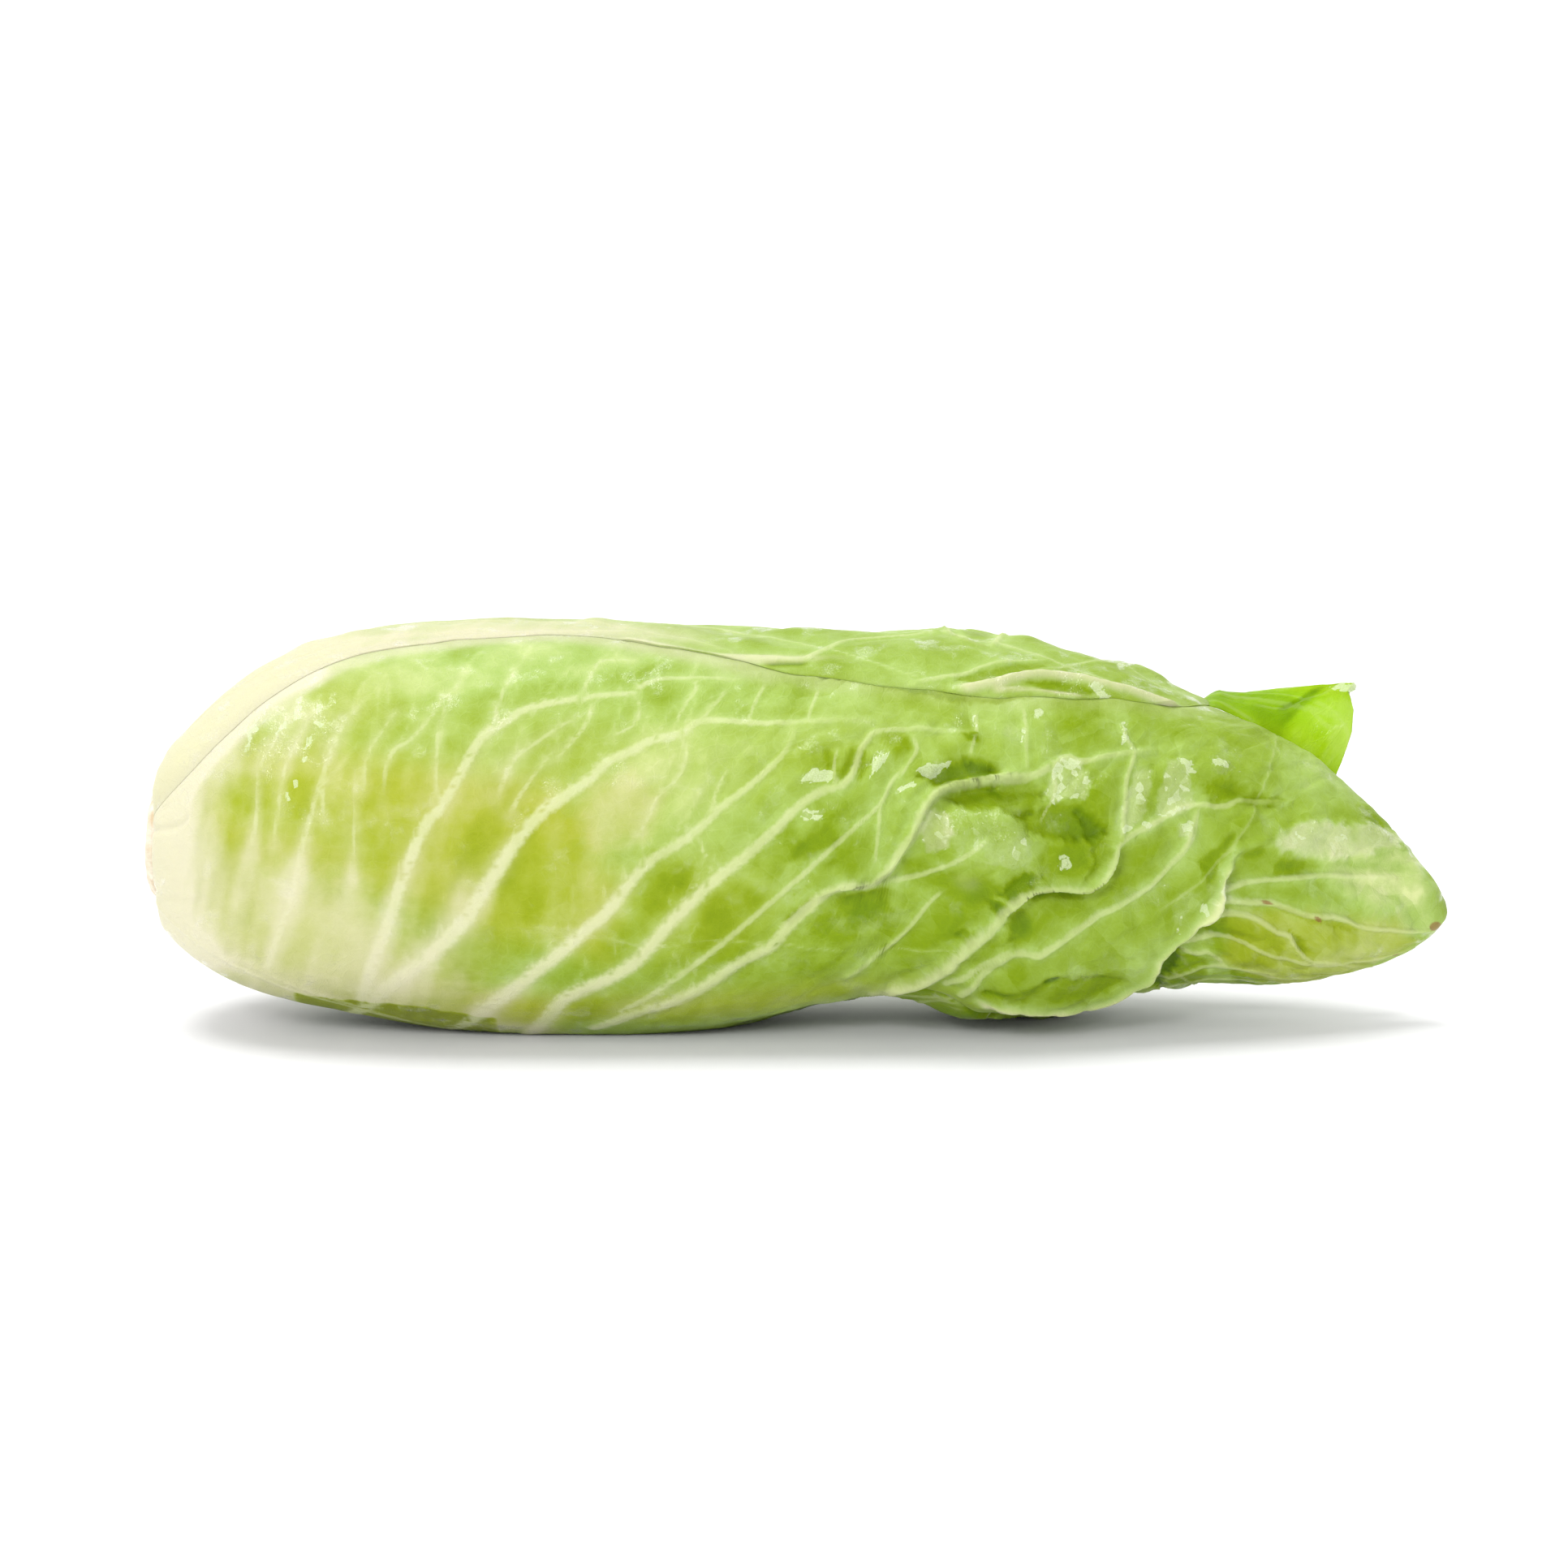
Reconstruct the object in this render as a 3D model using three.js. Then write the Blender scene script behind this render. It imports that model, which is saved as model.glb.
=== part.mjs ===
// A cut head of sugarloaf chicory, lying on its side.
//
// The head is a rosette: a short stem that was cut through at the root, and leaves that clasp it in a
// spiral, each one closed round the next. Every leaf is its own solid. The leaves are laid from the
// outermost inwards: each one keeps a small gap under the leaves that already lie over it, and comes
// out to the head's surface where nothing covers it.
//
// Frame: millimetres, +Z up, the head along X with the cut stem towards -X, resting on Z = 0.
// Angles run round the head: 0 faces -Y, 90 is up, 180 faces +Y and 270 is down.
import * as THREE from "three";

// ---------------------------------------------------------------- driving dimensions (mm, degrees)

// The head's outline, from the stem to the tip: [x, underside z, top z, half its depth along Y].
// Where the underside is below zero the head settles flat under its own weight.
const OUTLINE = [
  [-156.0, 29.5, 58.5, 14.5],
  [-157.0, 24.5, 63.5, 19.5],
  [-153.5, 19.8, 69.8, 25.0],
  [-146.5, 14.6, 77.4, 31.4],
  [-137.0, 9.8, 85.5, 37.8],
  [-125.0, 6.0, 92.0, 43.0],
  [-108.0, 2.6, 96.6, 46.8],
  [-88.0, -1.0, 98.8, 48.6],
  [-66.0, -3.0, 99.4, 49.0],
  [-42.0, -3.0, 99.2, 48.6],
  [-18.0, -0.8, 98.0, 47.6],
  [4.0, 3.4, 96.8, 46.4],
  [24.0, 4.4, 96.6, 45.2],
  [43.0, -2.0, 96.8, 44.0],
  [60.0, -2.0, 94.4, 41.6],
  [76.0, 3.5, 89.5, 38.0],
  [90.0, 7.5, 83.5, 33.6],
  [103.0, 9.4, 78.0, 29.6],
  [114.0, 9.2, 73.0, 26.0],
  [125.0, 10.0, 67.0, 21.8],
  [135.0, 11.8, 58.5, 17.4],
  [144.0, 14.4, 50.0, 13.0],
  [152.0, 18.0, 41.2, 8.6],
  [157.0, 21.5, 35.5, 5.4],
  [160.0, 25.0, 30.0, 2.0],
];
const TIP = OUTLINE.length - 1; // the last station; a place along the head is a station number
const SECTION_POWER = 2.15; // 2 is a plain ellipse, more is a little squarer
const AXIS_START = -118; // the leaves close on this line inside the head
const AXIS_END = 128;

const STEM_CUT_X = -160; // the cut face
const STEM_RADIUS = 14; // at the cut, just inside the outermost leaf bases
const STEM_GAP = 0.8; // between the stem and the leaf bases
const STEM_BEVEL = 0.8; // round the rim of the cut

const BLADE = 0.95; // leaf thickness away from the midrib
const GAP = 1.2; // between one leaf and the next
const OUTER_COLUMNS = 13; // mesh columns across an outer leaf
const INNER_COLUMNS = 11;
const HEART_COLUMNS = 11;

// Midrib: [share of the leaf's length, extra thickness, half width across].
const MIDRIB = [
  [0, 4.6, 11],
  [0.3, 3.2, 8],
  [0.6, 1.6, 5],
  [1, 0.2, 2],
];

// Outer leaves, outermost first. Margins and midrib: [x, lower angle, midrib angle, upper angle].
const OUTER_LEAVES = [
  {
    name: "top_wrapper_leaf",
    color: 0xc9dc8c,
    margins: [
      [-157, 30, 96, 150],
      [-137, 47, 98, 154],
      [-125, 57, 100, 158],
      [-108, 66, 104, 168],
      [-66, 74, 112, 190],
      [-42, 71, 118, 196],
      [-18, 63, 122, 202],
      [24, 51, 128, 206],
      [43, 48, 128, 204],
      [60, 52, 126, 200],
      [76, 58, 120, 184],
      [90, 66, 112, 162],
      [102, 78, 104, 136],
    ],
  },
  {
    name: "front_wrapper_leaf",
    color: 0xb4d070,
    margins: [
      [-157, -78, -34, 78],
      [-137, -76, -42, 82],
      [-108, -75, -54, 88],
      [-88, -81, -64, 92],
      [-66, -92, -78, 96],
      [-42, -104, -88, 98],
      [-18, -112, -93, 98],
      [24, -120, -88, 96],
      [43, -122, -76, 92],
      [76, -120, -66, 88],
      [90, -116, -42, 88],
      [103, -110, -16, 90],
      [125, -104, -12, 92],
      [144, -98, -8, 92],
      [160, -90, -4, 88],
    ],
  },
  {
    name: "back_wrapper_leaf",
    color: 0xa9c964,
    margins: [
      [-157, 140, 200, 252],
      [-125, 132, 202, 266],
      [-88, 120, 204, 282],
      [-42, 108, 206, 294],
      [24, 106, 208, 296],
      [60, 112, 208, 292],
      [90, 134, 210, 284],
      [103, 162, 212, 276],
      [114, 172, 214, 268],
      [135, 174, 214, 262],
      [152, 184, 214, 244],
    ],
  },
  {
    name: "raised_tip_leaf",
    color: 0x9cc23c,
    margins: [
      [-157, 62, 118, 172],
      [-108, 48, 120, 190],
      [-66, 34, 122, 206],
      [24, 22, 126, 222],
      [60, 24, 128, 220],
      [76, 40, 128, 208],
      [90, 72, 118, 170],
      [103, 93, 112, 138],
      [114, 92, 110, 134],
      [125, 92, 108, 130],
      [132, 92, 107, 128],
    ],
    // This tip stands up out of the gap between its neighbours, most along its upper margin: how far
    // at each margin, and over which stretch of x.
    lift: { low: 0, high: 27, from: 101, to: 123 },
  },
  {
    name: "lower_wrapper_leaf",
    color: 0x9fbe5e,
    margins: [
      [-157, 218, 272, 326],
      [-108, 210, 270, 330],
      [-66, 196, 268, 340],
      [24, 176, 266, 352],
      [76, 180, 264, 346],
      [103, 200, 262, 322],
      [125, 226, 260, 292],
      [133, 244, 258, 272],
    ],
  },
];

// The leaves inside follow the plant's own spiral. Their shape is a share of the leaf's length
// against its half width in degrees.
const SPIRAL_STEP = 137.5;
const SPIRAL_START = 44;
const INNER_HALF_WIDTH = [
  [0, 54],
  [0.12, 50],
  [0.3, 70],
  [0.5, 96],
  [0.7, 110],
  [0.86, 100],
  [0.94, 82],
  [1, 58],
];
const INNER_COUNT = 6; // full leaves under the wrappers
const HEART_COUNT = 7; // smaller, paler leaves of the heart
const INNER_TIP_X = [129, 24]; // where the tips end, from the first inner leaf to the last of the heart
const INNER_TWIST = 16; // degrees that a leaf turns round the head along its length
const HEART_WIDENING = 0.2; // heart leaves close further round, for their size
const HEART_DEPTH = 0.78; // the innermost leaf's place, as a share of the way in to the axis
const INNER_RIB = [0.75, 0.12]; // how far their midribs stand out, next to an outer leaf's
const INNER_COLORS = [0xc4d88a, 0xe9ecc0]; // from the first inner leaf to the heart

// ---------------------------------------------------------------- helpers

const radians = THREE.MathUtils.degToRad;
const smooth = (value, from, to) => THREE.MathUtils.smoothstep(value, from, to);
const nearest = (list, index) => list[THREE.MathUtils.clamp(index, 0, list.length - 1)];
const UP = new THREE.Vector3(0, 0, 1);

// A table of rows sorted on their first column, read at any value of it, one column at a time.
function readTable(rows, at, column) {
  if (at <= rows[0][0]) return rows[0][column];
  for (let i = 1; i < rows.length; i++)
    if (at <= rows[i][0]) {
      const share = (at - rows[i - 1][0]) / (rows[i][0] - rows[i - 1][0]);
      return THREE.MathUtils.lerp(rows[i - 1][column], rows[i][column], share);
    }
  return rows[rows.length - 1][column];
}

// ---------------------------------------------------------------- the head's outer surface

const sideCurve = new THREE.CatmullRomCurve3(
  OUTLINE.map(([x, under, top]) => new THREE.Vector3(x, under, top)),
  false,
  "catmullrom",
  0.5,
);
const planCurve = new THREE.CatmullRomCurve3(
  OUTLINE.map(([x, , , depth]) => new THREE.Vector3(x, depth, 0)),
  false,
  "catmullrom",
  0.5,
);

// At a station number: x, the centre's height, half the height and half the depth.
function outlineAt(station) {
  const share = THREE.MathUtils.clamp(station / TIP, 0, 1);
  const side = sideCurve.getPoint(share);
  const depth = planCurve.getPoint(share).y;
  return { x: side.x, centre: (side.y + side.z) / 2, half: (side.z - side.y) / 2, depth };
}

// The station number whose outline point has this x, past the blunt end at the stem.
function stationAt(x) {
  let low = 1;
  let high = TIP;
  for (let i = 0; i < 40; i++) {
    const middle = (low + high) / 2;
    if (outlineAt(middle).x < x) low = middle;
    else high = middle;
  }
  return (low + high) / 2;
}

function surfacePoint(station, angle) {
  const { x, centre, half, depth } = outlineAt(station);
  const c = Math.cos(radians(angle));
  const s = Math.sin(radians(angle));
  const reach = (Math.abs(c) ** SECTION_POWER + Math.abs(s) ** SECTION_POWER) ** (-1 / SECTION_POWER);
  const z = Math.max(0, centre + half * reach * s);
  return new THREE.Vector3(x, -depth * reach * c, z);
}

function axisPoint(station) {
  const { x, centre } = outlineAt(station);
  const along = (x - OUTLINE[0][0]) / (OUTLINE[TIP][0] - OUTLINE[0][0]);
  return new THREE.Vector3(THREE.MathUtils.lerp(AXIS_START, AXIS_END, Math.max(0, along)), 0, centre);
}

// A point this deep under the head's surface, on the straight way in to the axis.
function pointAt(station, angle, depth) {
  const outer = surfacePoint(station, angle);
  const inward = axisPoint(station).sub(outer);
  return outer.addScaledVector(inward, depth / inward.length());
}

const wayIn = (station, angle) => surfacePoint(station, angle).distanceTo(axisPoint(station));

// ---------------------------------------------------------------- how deep the leaves lie

const CELLS_PER_STATION = 6;
const TIP_SPARE = 0.3; // stations past a leaf's tip that stay clear as well
const FIELD_ROWS = TIP * CELLS_PER_STATION + 1;
const FIELD_COLUMNS = 120;
const EASE = 3; // cells over which the step down to go under another leaf is eased

// Depth of the inside of the leaves laid so far, over the whole head.
class DepthField {
  constructor(values = new Float32Array(FIELD_ROWS * FIELD_COLUMNS)) {
    this.values = values;
  }

  at(row, column) {
    const r = THREE.MathUtils.clamp(row, 0, FIELD_ROWS - 1);
    const c = THREE.MathUtils.euclideanModulo(column, FIELD_COLUMNS);
    return this.values[r * FIELD_COLUMNS + c];
  }

  read(station, angle) {
    const row = (station / TIP) * (FIELD_ROWS - 1);
    const column = (angle / 360) * FIELD_COLUMNS;
    const r = Math.floor(row);
    const c = Math.floor(column);
    const near = THREE.MathUtils.lerp(this.at(r, c), this.at(r, c + 1), column - c);
    const far = THREE.MathUtils.lerp(this.at(r + 1, c), this.at(r + 1, c + 1), column - c);
    return THREE.MathUtils.lerp(near, far, row - r);
  }

  // One pass along rows or columns, joining the values within reach of each cell.
  pass(reach, alongRows, join) {
    const made = new Float32Array(this.values.length);
    for (let r = 0; r < FIELD_ROWS; r++)
      for (let c = 0; c < FIELD_COLUMNS; c++) {
        const near = [];
        for (let k = -reach; k <= reach; k++)
          near.push(alongRows ? this.at(r + k, c) : this.at(r, c + k));
        made[r * FIELD_COLUMNS + c] = join(near);
      }
    return new DepthField(made);
  }

  // The field as a leaf with this mesh step, in degrees, can follow it: deep enough one step ahead of
  // each leaf that it goes under, with the way down eased.
  settled(step) {
    const deepest = (near) => Math.max(...near);
    const mean = (near) => near.reduce((a, b) => a + b, 0) / near.length;
    return this.pass(Math.ceil((step / 360) * FIELD_COLUMNS) + EASE, false, deepest)
      .pass(CELLS_PER_STATION + EASE, true, deepest)
      .pass(EASE, false, mean)
      .pass(EASE, true, mean);
  }
}

// ---------------------------------------------------------------- one leaf

class Leaf {
  constructor({ name, color, columns, tipStation, marginsAt, rib = 1, least = () => 0, lift }) {
    Object.assign(this, { name, color, columns, tipStation, marginsAt, rib, least, lift });
  }

  // A wrapper leaf, from its table of margins by x.
  static fromTable({ name, color, margins, lift }) {
    const tipStation = stationAt(margins[margins.length - 1][0]);
    const marginsAt = (station) => {
      const { x } = outlineAt(station);
      const [low, middle, high] = [1, 2, 3].map((column) => readTable(margins, x, column));
      return { low, middle, high };
    };
    return new Leaf({ name, color, columns: OUTER_COLUMNS, tipStation, marginsAt, lift });
  }

  // A leaf of the spiral, from its place in it: order counts from 0 at the outermost.
  static fromSpiral(order, total) {
    const share = order / (total - 1);
    const inHeart = order >= INNER_COUNT;
    const tipStation = stationAt(THREE.MathUtils.lerp(...INNER_TIP_X, share));
    const start = SPIRAL_START - SPIRAL_STEP * order;
    const marginsAt = (station) => {
      const along = station / tipStation;
      const middle = start + INNER_TWIST * along;
      const half = readTable(INNER_HALF_WIDTH, along, 1) * (1 + HEART_WIDENING * share);
      return { low: middle - half, middle, high: middle + half };
    };
    const colors = INNER_COLORS.map((color) => new THREE.Color(color));
    return new Leaf({
      name: inHeart ? `heart_leaf_${order - INNER_COUNT + 1}` : `inner_leaf_${order + 1}`,
      color: colors[0].clone().lerp(colors[1], share),
      columns: inHeart ? HEART_COLUMNS : INNER_COLUMNS,
      tipStation,
      marginsAt,
      rib: THREE.MathUtils.lerp(...INNER_RIB, share),
      least: (station, angle) => HEART_DEPTH * share * wayIn(station, angle),
    });
  }

  thickness(station, angle) {
    const along = station / this.tipStation;
    const { middle } = this.marginsAt(station);
    const off = radians(Math.abs(angle - middle)) * outlineAt(station).half;
    const across = readTable(MIDRIB, along, 2);
    return BLADE + this.rib * readTable(MIDRIB, along, 1) * Math.exp(-((off / across) ** 2));
  }

  outerDepth(station, angle) {
    const roof = this.roof ? this.roof.read(station, angle) : 0;
    const room = roof + GAP * Math.min(1, roof);
    return Math.max(room, this.least(station, angle));
  }

  // How far a free tip stands up above where it would lie.
  raised(station, angle) {
    if (!this.lift) return 0;
    const { low, high } = this.marginsAt(station);
    const across = THREE.MathUtils.mapLinear(angle, low, high, this.lift.low, this.lift.high);
    return across * smooth(outlineAt(station).x, this.lift.from, this.lift.to);
  }

  innerDepth(station, angle) {
    return this.outerDepth(station, angle) + this.thickness(station, angle);
  }

  // Whole stations, and then the leaf's own tip.
  rows() {
    const last = Math.ceil(this.tipStation - 0.3);
    return [...Array(last).keys(), this.tipStation];
  }

  // The widest step between mesh columns, in degrees.
  step() {
    const widths = this.rows().map((station) => {
      const { low, high } = this.marginsAt(station);
      return high - low;
    });
    return Math.max(...widths) / this.columns;
  }

  // The mesh rows: a station, and the angle and depths of each vertex across it.
  lattice() {
    return this.rows().map((station) => {
      const { low, high } = this.marginsAt(station);
      const angles = [...Array(this.columns + 1).keys()].map((c) =>
        THREE.MathUtils.lerp(low, high, c / this.columns),
      );
      const outer = angles.map((angle) => this.outerDepth(station, angle));
      const inner = angles.map((angle) => this.innerDepth(station, angle));
      return { station, angles, outer, inner };
    });
  }

  // Writes the inside of this leaf's mesh into the field, with a cell to spare all round.
  cover(field) {
    const lattice = this.lattice();
    const spare = 360 / FIELD_COLUMNS;
    for (let r = 0; r < FIELD_ROWS; r++) {
      const station = r / CELLS_PER_STATION;
      if (station > this.tipStation + TIP_SPARE) break;
      const next = lattice.findIndex((row, i) => i > 0 && row.station >= station);
      const end = next < 0 ? lattice.length - 1 : next;
      const [near, far] = [lattice[end - 1], lattice[end]];
      const share = Math.min(1, (station - near.station) / (far.station - near.station));
      const across = (list, t) => {
        const c = Math.min(Math.floor(t * this.columns), this.columns - 1);
        return THREE.MathUtils.lerp(list[c], list[c + 1], t * this.columns - c);
      };
      const blend = (name, t) =>
        THREE.MathUtils.lerp(across(near[name], t), across(far[name], t), share);
      const [low, high] = [blend("angles", 0), blend("angles", 1)];
      for (let angle = low - spare; angle <= high + spare; angle += spare / 2) {
        const t = THREE.MathUtils.clamp((angle - low) / (high - low), 0, 1);
        const column = Math.round((angle / 360) * FIELD_COLUMNS);
        const cell = r * FIELD_COLUMNS + THREE.MathUtils.euclideanModulo(column, FIELD_COLUMNS);
        field.values[cell] = Math.max(field.values[cell], blend("inner", t));
      }
    }
  }

  // The vertices of one skin, row by row.
  skin(name) {
    return this.lattice().map((row) =>
      row.angles.map((angle, c) => {
        const lift = this.raised(row.station, angle);
        return pointAt(row.station, angle, row[name][c]).addScaledVector(UP, lift);
      }),
    );
  }

  // The inner skin. Where the leaf stands up, its thickness is square to its own surface.
  innerSkin(outer) {
    if (!this.lift) return this.skin("inner");
    const rows = this.lattice();
    return this.skin("inner").map((points, r) =>
      points.map((point, c) => {
        const along = nearest(outer, r + 1)[c].clone().sub(nearest(outer, r - 1)[c]);
        const across = nearest(outer[r], c + 1).clone().sub(nearest(outer[r], c - 1));
        const thickness = rows[r].inner[c] - rows[r].outer[c];
        const inward = across.cross(along).normalize();
        const square = outer[r][c].clone().addScaledVector(inward, thickness);
        return point.lerp(square, smooth(this.raised(rows[r].station, rows[r].angles[c]), 0, 4));
      }),
    );
  }

  // A closed shell: the outer skin, the inner skin and the edge that joins them.
  geometry() {
    const rows = this.skin("outer");
    const across = this.columns + 1;
    const positions = [rows, this.innerSkin(rows)].flat(2).flatMap((point) => point.toArray());
    const inside = rows.length * across;
    const faces = [];
    const quad = (a, b, c, d) => faces.push(a, b, c, a, c, d);
    for (let r = 0; r + 1 < rows.length; r++)
      for (let c = 0; c + 1 < across; c++) {
        const a = r * across + c;
        quad(a, a + across, a + across + 1, a + 1);
        quad(inside + a, inside + a + 1, inside + a + across + 1, inside + a + across);
      }
    const edge = [];
    for (let c = 0; c < across; c++) edge.push(c);
    for (let r = 1; r < rows.length; r++) edge.push(r * across + across - 1);
    for (let c = across - 2; c >= 0; c--) edge.push((rows.length - 1) * across + c);
    for (let r = rows.length - 2; r > 0; r--) edge.push(r * across);
    edge.forEach((a, i) => {
      const b = edge[(i + 1) % edge.length];
      quad(a, b, inside + b, inside + a);
    });
    const geometry = new THREE.BufferGeometry();
    geometry.setAttribute("position", new THREE.Float32BufferAttribute(positions, 3));
    geometry.setIndex(faces);
    geometry.computeVertexNormals();
    return geometry;
  }

  mesh() {
    const material = new THREE.MeshStandardMaterial({
      color: this.color,
      roughness: 0.45,
      metalness: 0,
      side: THREE.DoubleSide,
    });
    const mesh = new THREE.Mesh(this.geometry(), material);
    mesh.name = this.name;
    return mesh;
  }
}

// ---------------------------------------------------------------- the stem

// A short cone that the leaves clasp, with its cut face at the root end.
function stem() {
  const ring = outlineAt(0);
  const slope = Math.atan2(ring.half, AXIS_START - ring.x);
  const inset = STEM_GAP / Math.cos(slope);
  const apex = AXIS_START - STEM_GAP / Math.sin(slope) - 1;
  const profile = [
    [0, STEM_CUT_X],
    [STEM_RADIUS - STEM_BEVEL, STEM_CUT_X],
    [STEM_RADIUS, STEM_CUT_X + STEM_BEVEL],
    [ring.half - inset, ring.x],
    [0, apex],
  ].map(([radius, x]) => new THREE.Vector2(radius, x));
  const geometry = new THREE.LatheGeometry(profile, 28);
  const material = new THREE.MeshStandardMaterial({ color: 0xf2ead2, roughness: 0.6, metalness: 0 });
  const mesh = new THREE.Mesh(geometry, material);
  mesh.name = "cut_stem";
  mesh.rotation.z = -Math.PI / 2; // the lathe's own axis, +Y, onto +X
  mesh.position.z = ring.centre;
  return mesh;
}

// ---------------------------------------------------------------- the head

const total = INNER_COUNT + HEART_COUNT;
const leaves = [
  ...OUTER_LEAVES.map(Leaf.fromTable),
  ...Array.from({ length: total }, (_, order) => Leaf.fromSpiral(order, total)),
];
const laid = new DepthField();
const head = new THREE.Group();
head.add(stem());
leaves.forEach((leaf, i) => {
  if (i > 0) leaf.roof = laid.settled(leaf.step());
  head.add(leaf.mesh());
  leaf.cover(laid);
});

export default head;
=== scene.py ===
"""The looks of a cut head of sugarloaf chicory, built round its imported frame.

The head is a rosette: a short cut stem and leaves laid over each other. Each leaf is one closed
shell, worked out on a net of points that follows the head's form. Leaves are laid from the
outermost inwards, and each keeps clear of the ones that already lie over it. Lengths are in
millimetres until a mesh is made. Angles run round the head: 0 faces -Y, 90 is up, 180 is +Y.
"""

import logging
import math
from collections.abc import Sequence
from dataclasses import dataclass, field
from enum import Enum

import bpy
import numpy as np
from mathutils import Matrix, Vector


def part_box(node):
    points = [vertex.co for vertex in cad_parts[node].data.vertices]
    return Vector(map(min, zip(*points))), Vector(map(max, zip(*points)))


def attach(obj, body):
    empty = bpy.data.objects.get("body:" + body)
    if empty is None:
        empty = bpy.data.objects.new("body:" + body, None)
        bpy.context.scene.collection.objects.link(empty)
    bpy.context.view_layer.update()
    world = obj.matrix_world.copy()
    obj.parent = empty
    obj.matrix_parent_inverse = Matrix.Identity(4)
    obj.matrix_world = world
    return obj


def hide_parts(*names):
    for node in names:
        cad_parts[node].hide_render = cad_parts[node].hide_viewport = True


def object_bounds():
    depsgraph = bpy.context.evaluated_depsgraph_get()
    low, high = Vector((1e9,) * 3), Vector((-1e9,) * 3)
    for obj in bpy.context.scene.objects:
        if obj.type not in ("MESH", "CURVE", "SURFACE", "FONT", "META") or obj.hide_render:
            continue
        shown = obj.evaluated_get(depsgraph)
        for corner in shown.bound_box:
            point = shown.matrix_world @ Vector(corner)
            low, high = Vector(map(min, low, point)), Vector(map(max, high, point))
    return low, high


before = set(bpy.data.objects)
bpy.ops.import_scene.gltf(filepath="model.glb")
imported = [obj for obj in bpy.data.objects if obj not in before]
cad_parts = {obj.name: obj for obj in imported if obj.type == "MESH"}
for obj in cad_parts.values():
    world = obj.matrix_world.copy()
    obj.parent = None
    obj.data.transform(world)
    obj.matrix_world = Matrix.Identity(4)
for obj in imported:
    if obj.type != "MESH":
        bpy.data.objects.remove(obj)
CAD_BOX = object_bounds()

log = logging.getLogger("chicory")
MM = 0.001
BODY = "root"
MAIN_VEIN = 0.5  # a vein with a greater half width than this has branches
Route = str  # places along a line, each written as two numbers with a comma between
Places = Sequence[Sequence[float]]
Array = np.ndarray
Socket = bpy.types.NodeSocket
Table = tuple[tuple[float, ...], ...]
Stops = tuple[tuple[float, int], ...]


class Slot(Enum):
    """The record's material slots."""

    OUTER = "outer_leaf"
    INNER = "inner_leaf"
    HEART = "heart_leaf"
    STEM = "stem"


# ---- small tools


def smoothstep(value: Array, low: float, high: float) -> Array:
    """Eases from 0 at low to 1 at high."""
    share = np.clip((value - low) / (high - low), 0.0, 1.0)
    return share * share * (3.0 - 2.0 * share)


def spline(points: Array, per_span: int) -> Array:
    """Runs a smooth curve through points, evenly in each span.

    Args:
        points: One row for each point.
        per_span: How many steps each span is cut into.

    Returns:
        The points on the curve, one row each.
    """
    ends = [2 * points[:1] - points[1:2], points, 2 * points[-1:] - points[-2:-1]]
    p = np.concatenate(ends)
    a, b, c, d = (p[i : len(p) - 3 + i, None] for i in range(4))
    t = (np.arange(per_span) / per_span)[None, :, None]
    m0, m1 = (c - a) / 2, (d - b) / 2
    curve = b + m0 * t + (3 * (c - b) - 2 * m0 - m1) * t**2 + (2 * (b - c) + m0 + m1) * t**3
    return np.concatenate([curve.reshape(-1, points.shape[1]), points[-1:]])


def resampled(values: Array, rows: Array, columns: Array) -> Array:
    """Reads a net of values at fractional rows and columns, straight between its points.

    Args:
        values: The net, rows by columns.
        rows: Fractional row numbers, any shape.
        columns: Fractional column numbers, the same shape.

    Returns:
        The values there, in the shape of rows.
    """
    last_row, last_column = values.shape[0] - 1, values.shape[1] - 1
    rows, columns = np.clip(rows, 0, last_row), np.clip(columns, 0, last_column)
    r = np.minimum(rows.astype(int), last_row - 1)
    c = np.minimum(columns.astype(int), last_column - 1)
    dr, dc = rows - r, columns - c
    near = values[r, c] * (1 - dc) + values[r, c + 1] * dc
    far = values[r + 1, c] * (1 - dc) + values[r + 1, c + 1] * dc
    return near * (1 - dr) + far * dr


def soft_noise(x: Array, y: Array, size: float, seed: int) -> Array:
    """Smooth random hills about as wide as size, from -1 to 1.

    Args:
        x: First coordinate of each place.
        y: Second coordinate of each place.
        size: The distance between random values.
        seed: Picks the hills.

    Returns:
        The height at each place.
    """
    gx, gy = (x - x.min()) / size, (y - y.min()) / size
    shape = int(gx.max()) + 2, int(gy.max()) + 2
    heights = np.random.default_rng(seed).uniform(-1, 1, shape)
    rows, columns = (np.floor(g) + smoothstep(g - np.floor(g), 0, 1) for g in (gx, gy))
    return resampled(heights, rows, columns)


# ---- the head's form


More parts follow.
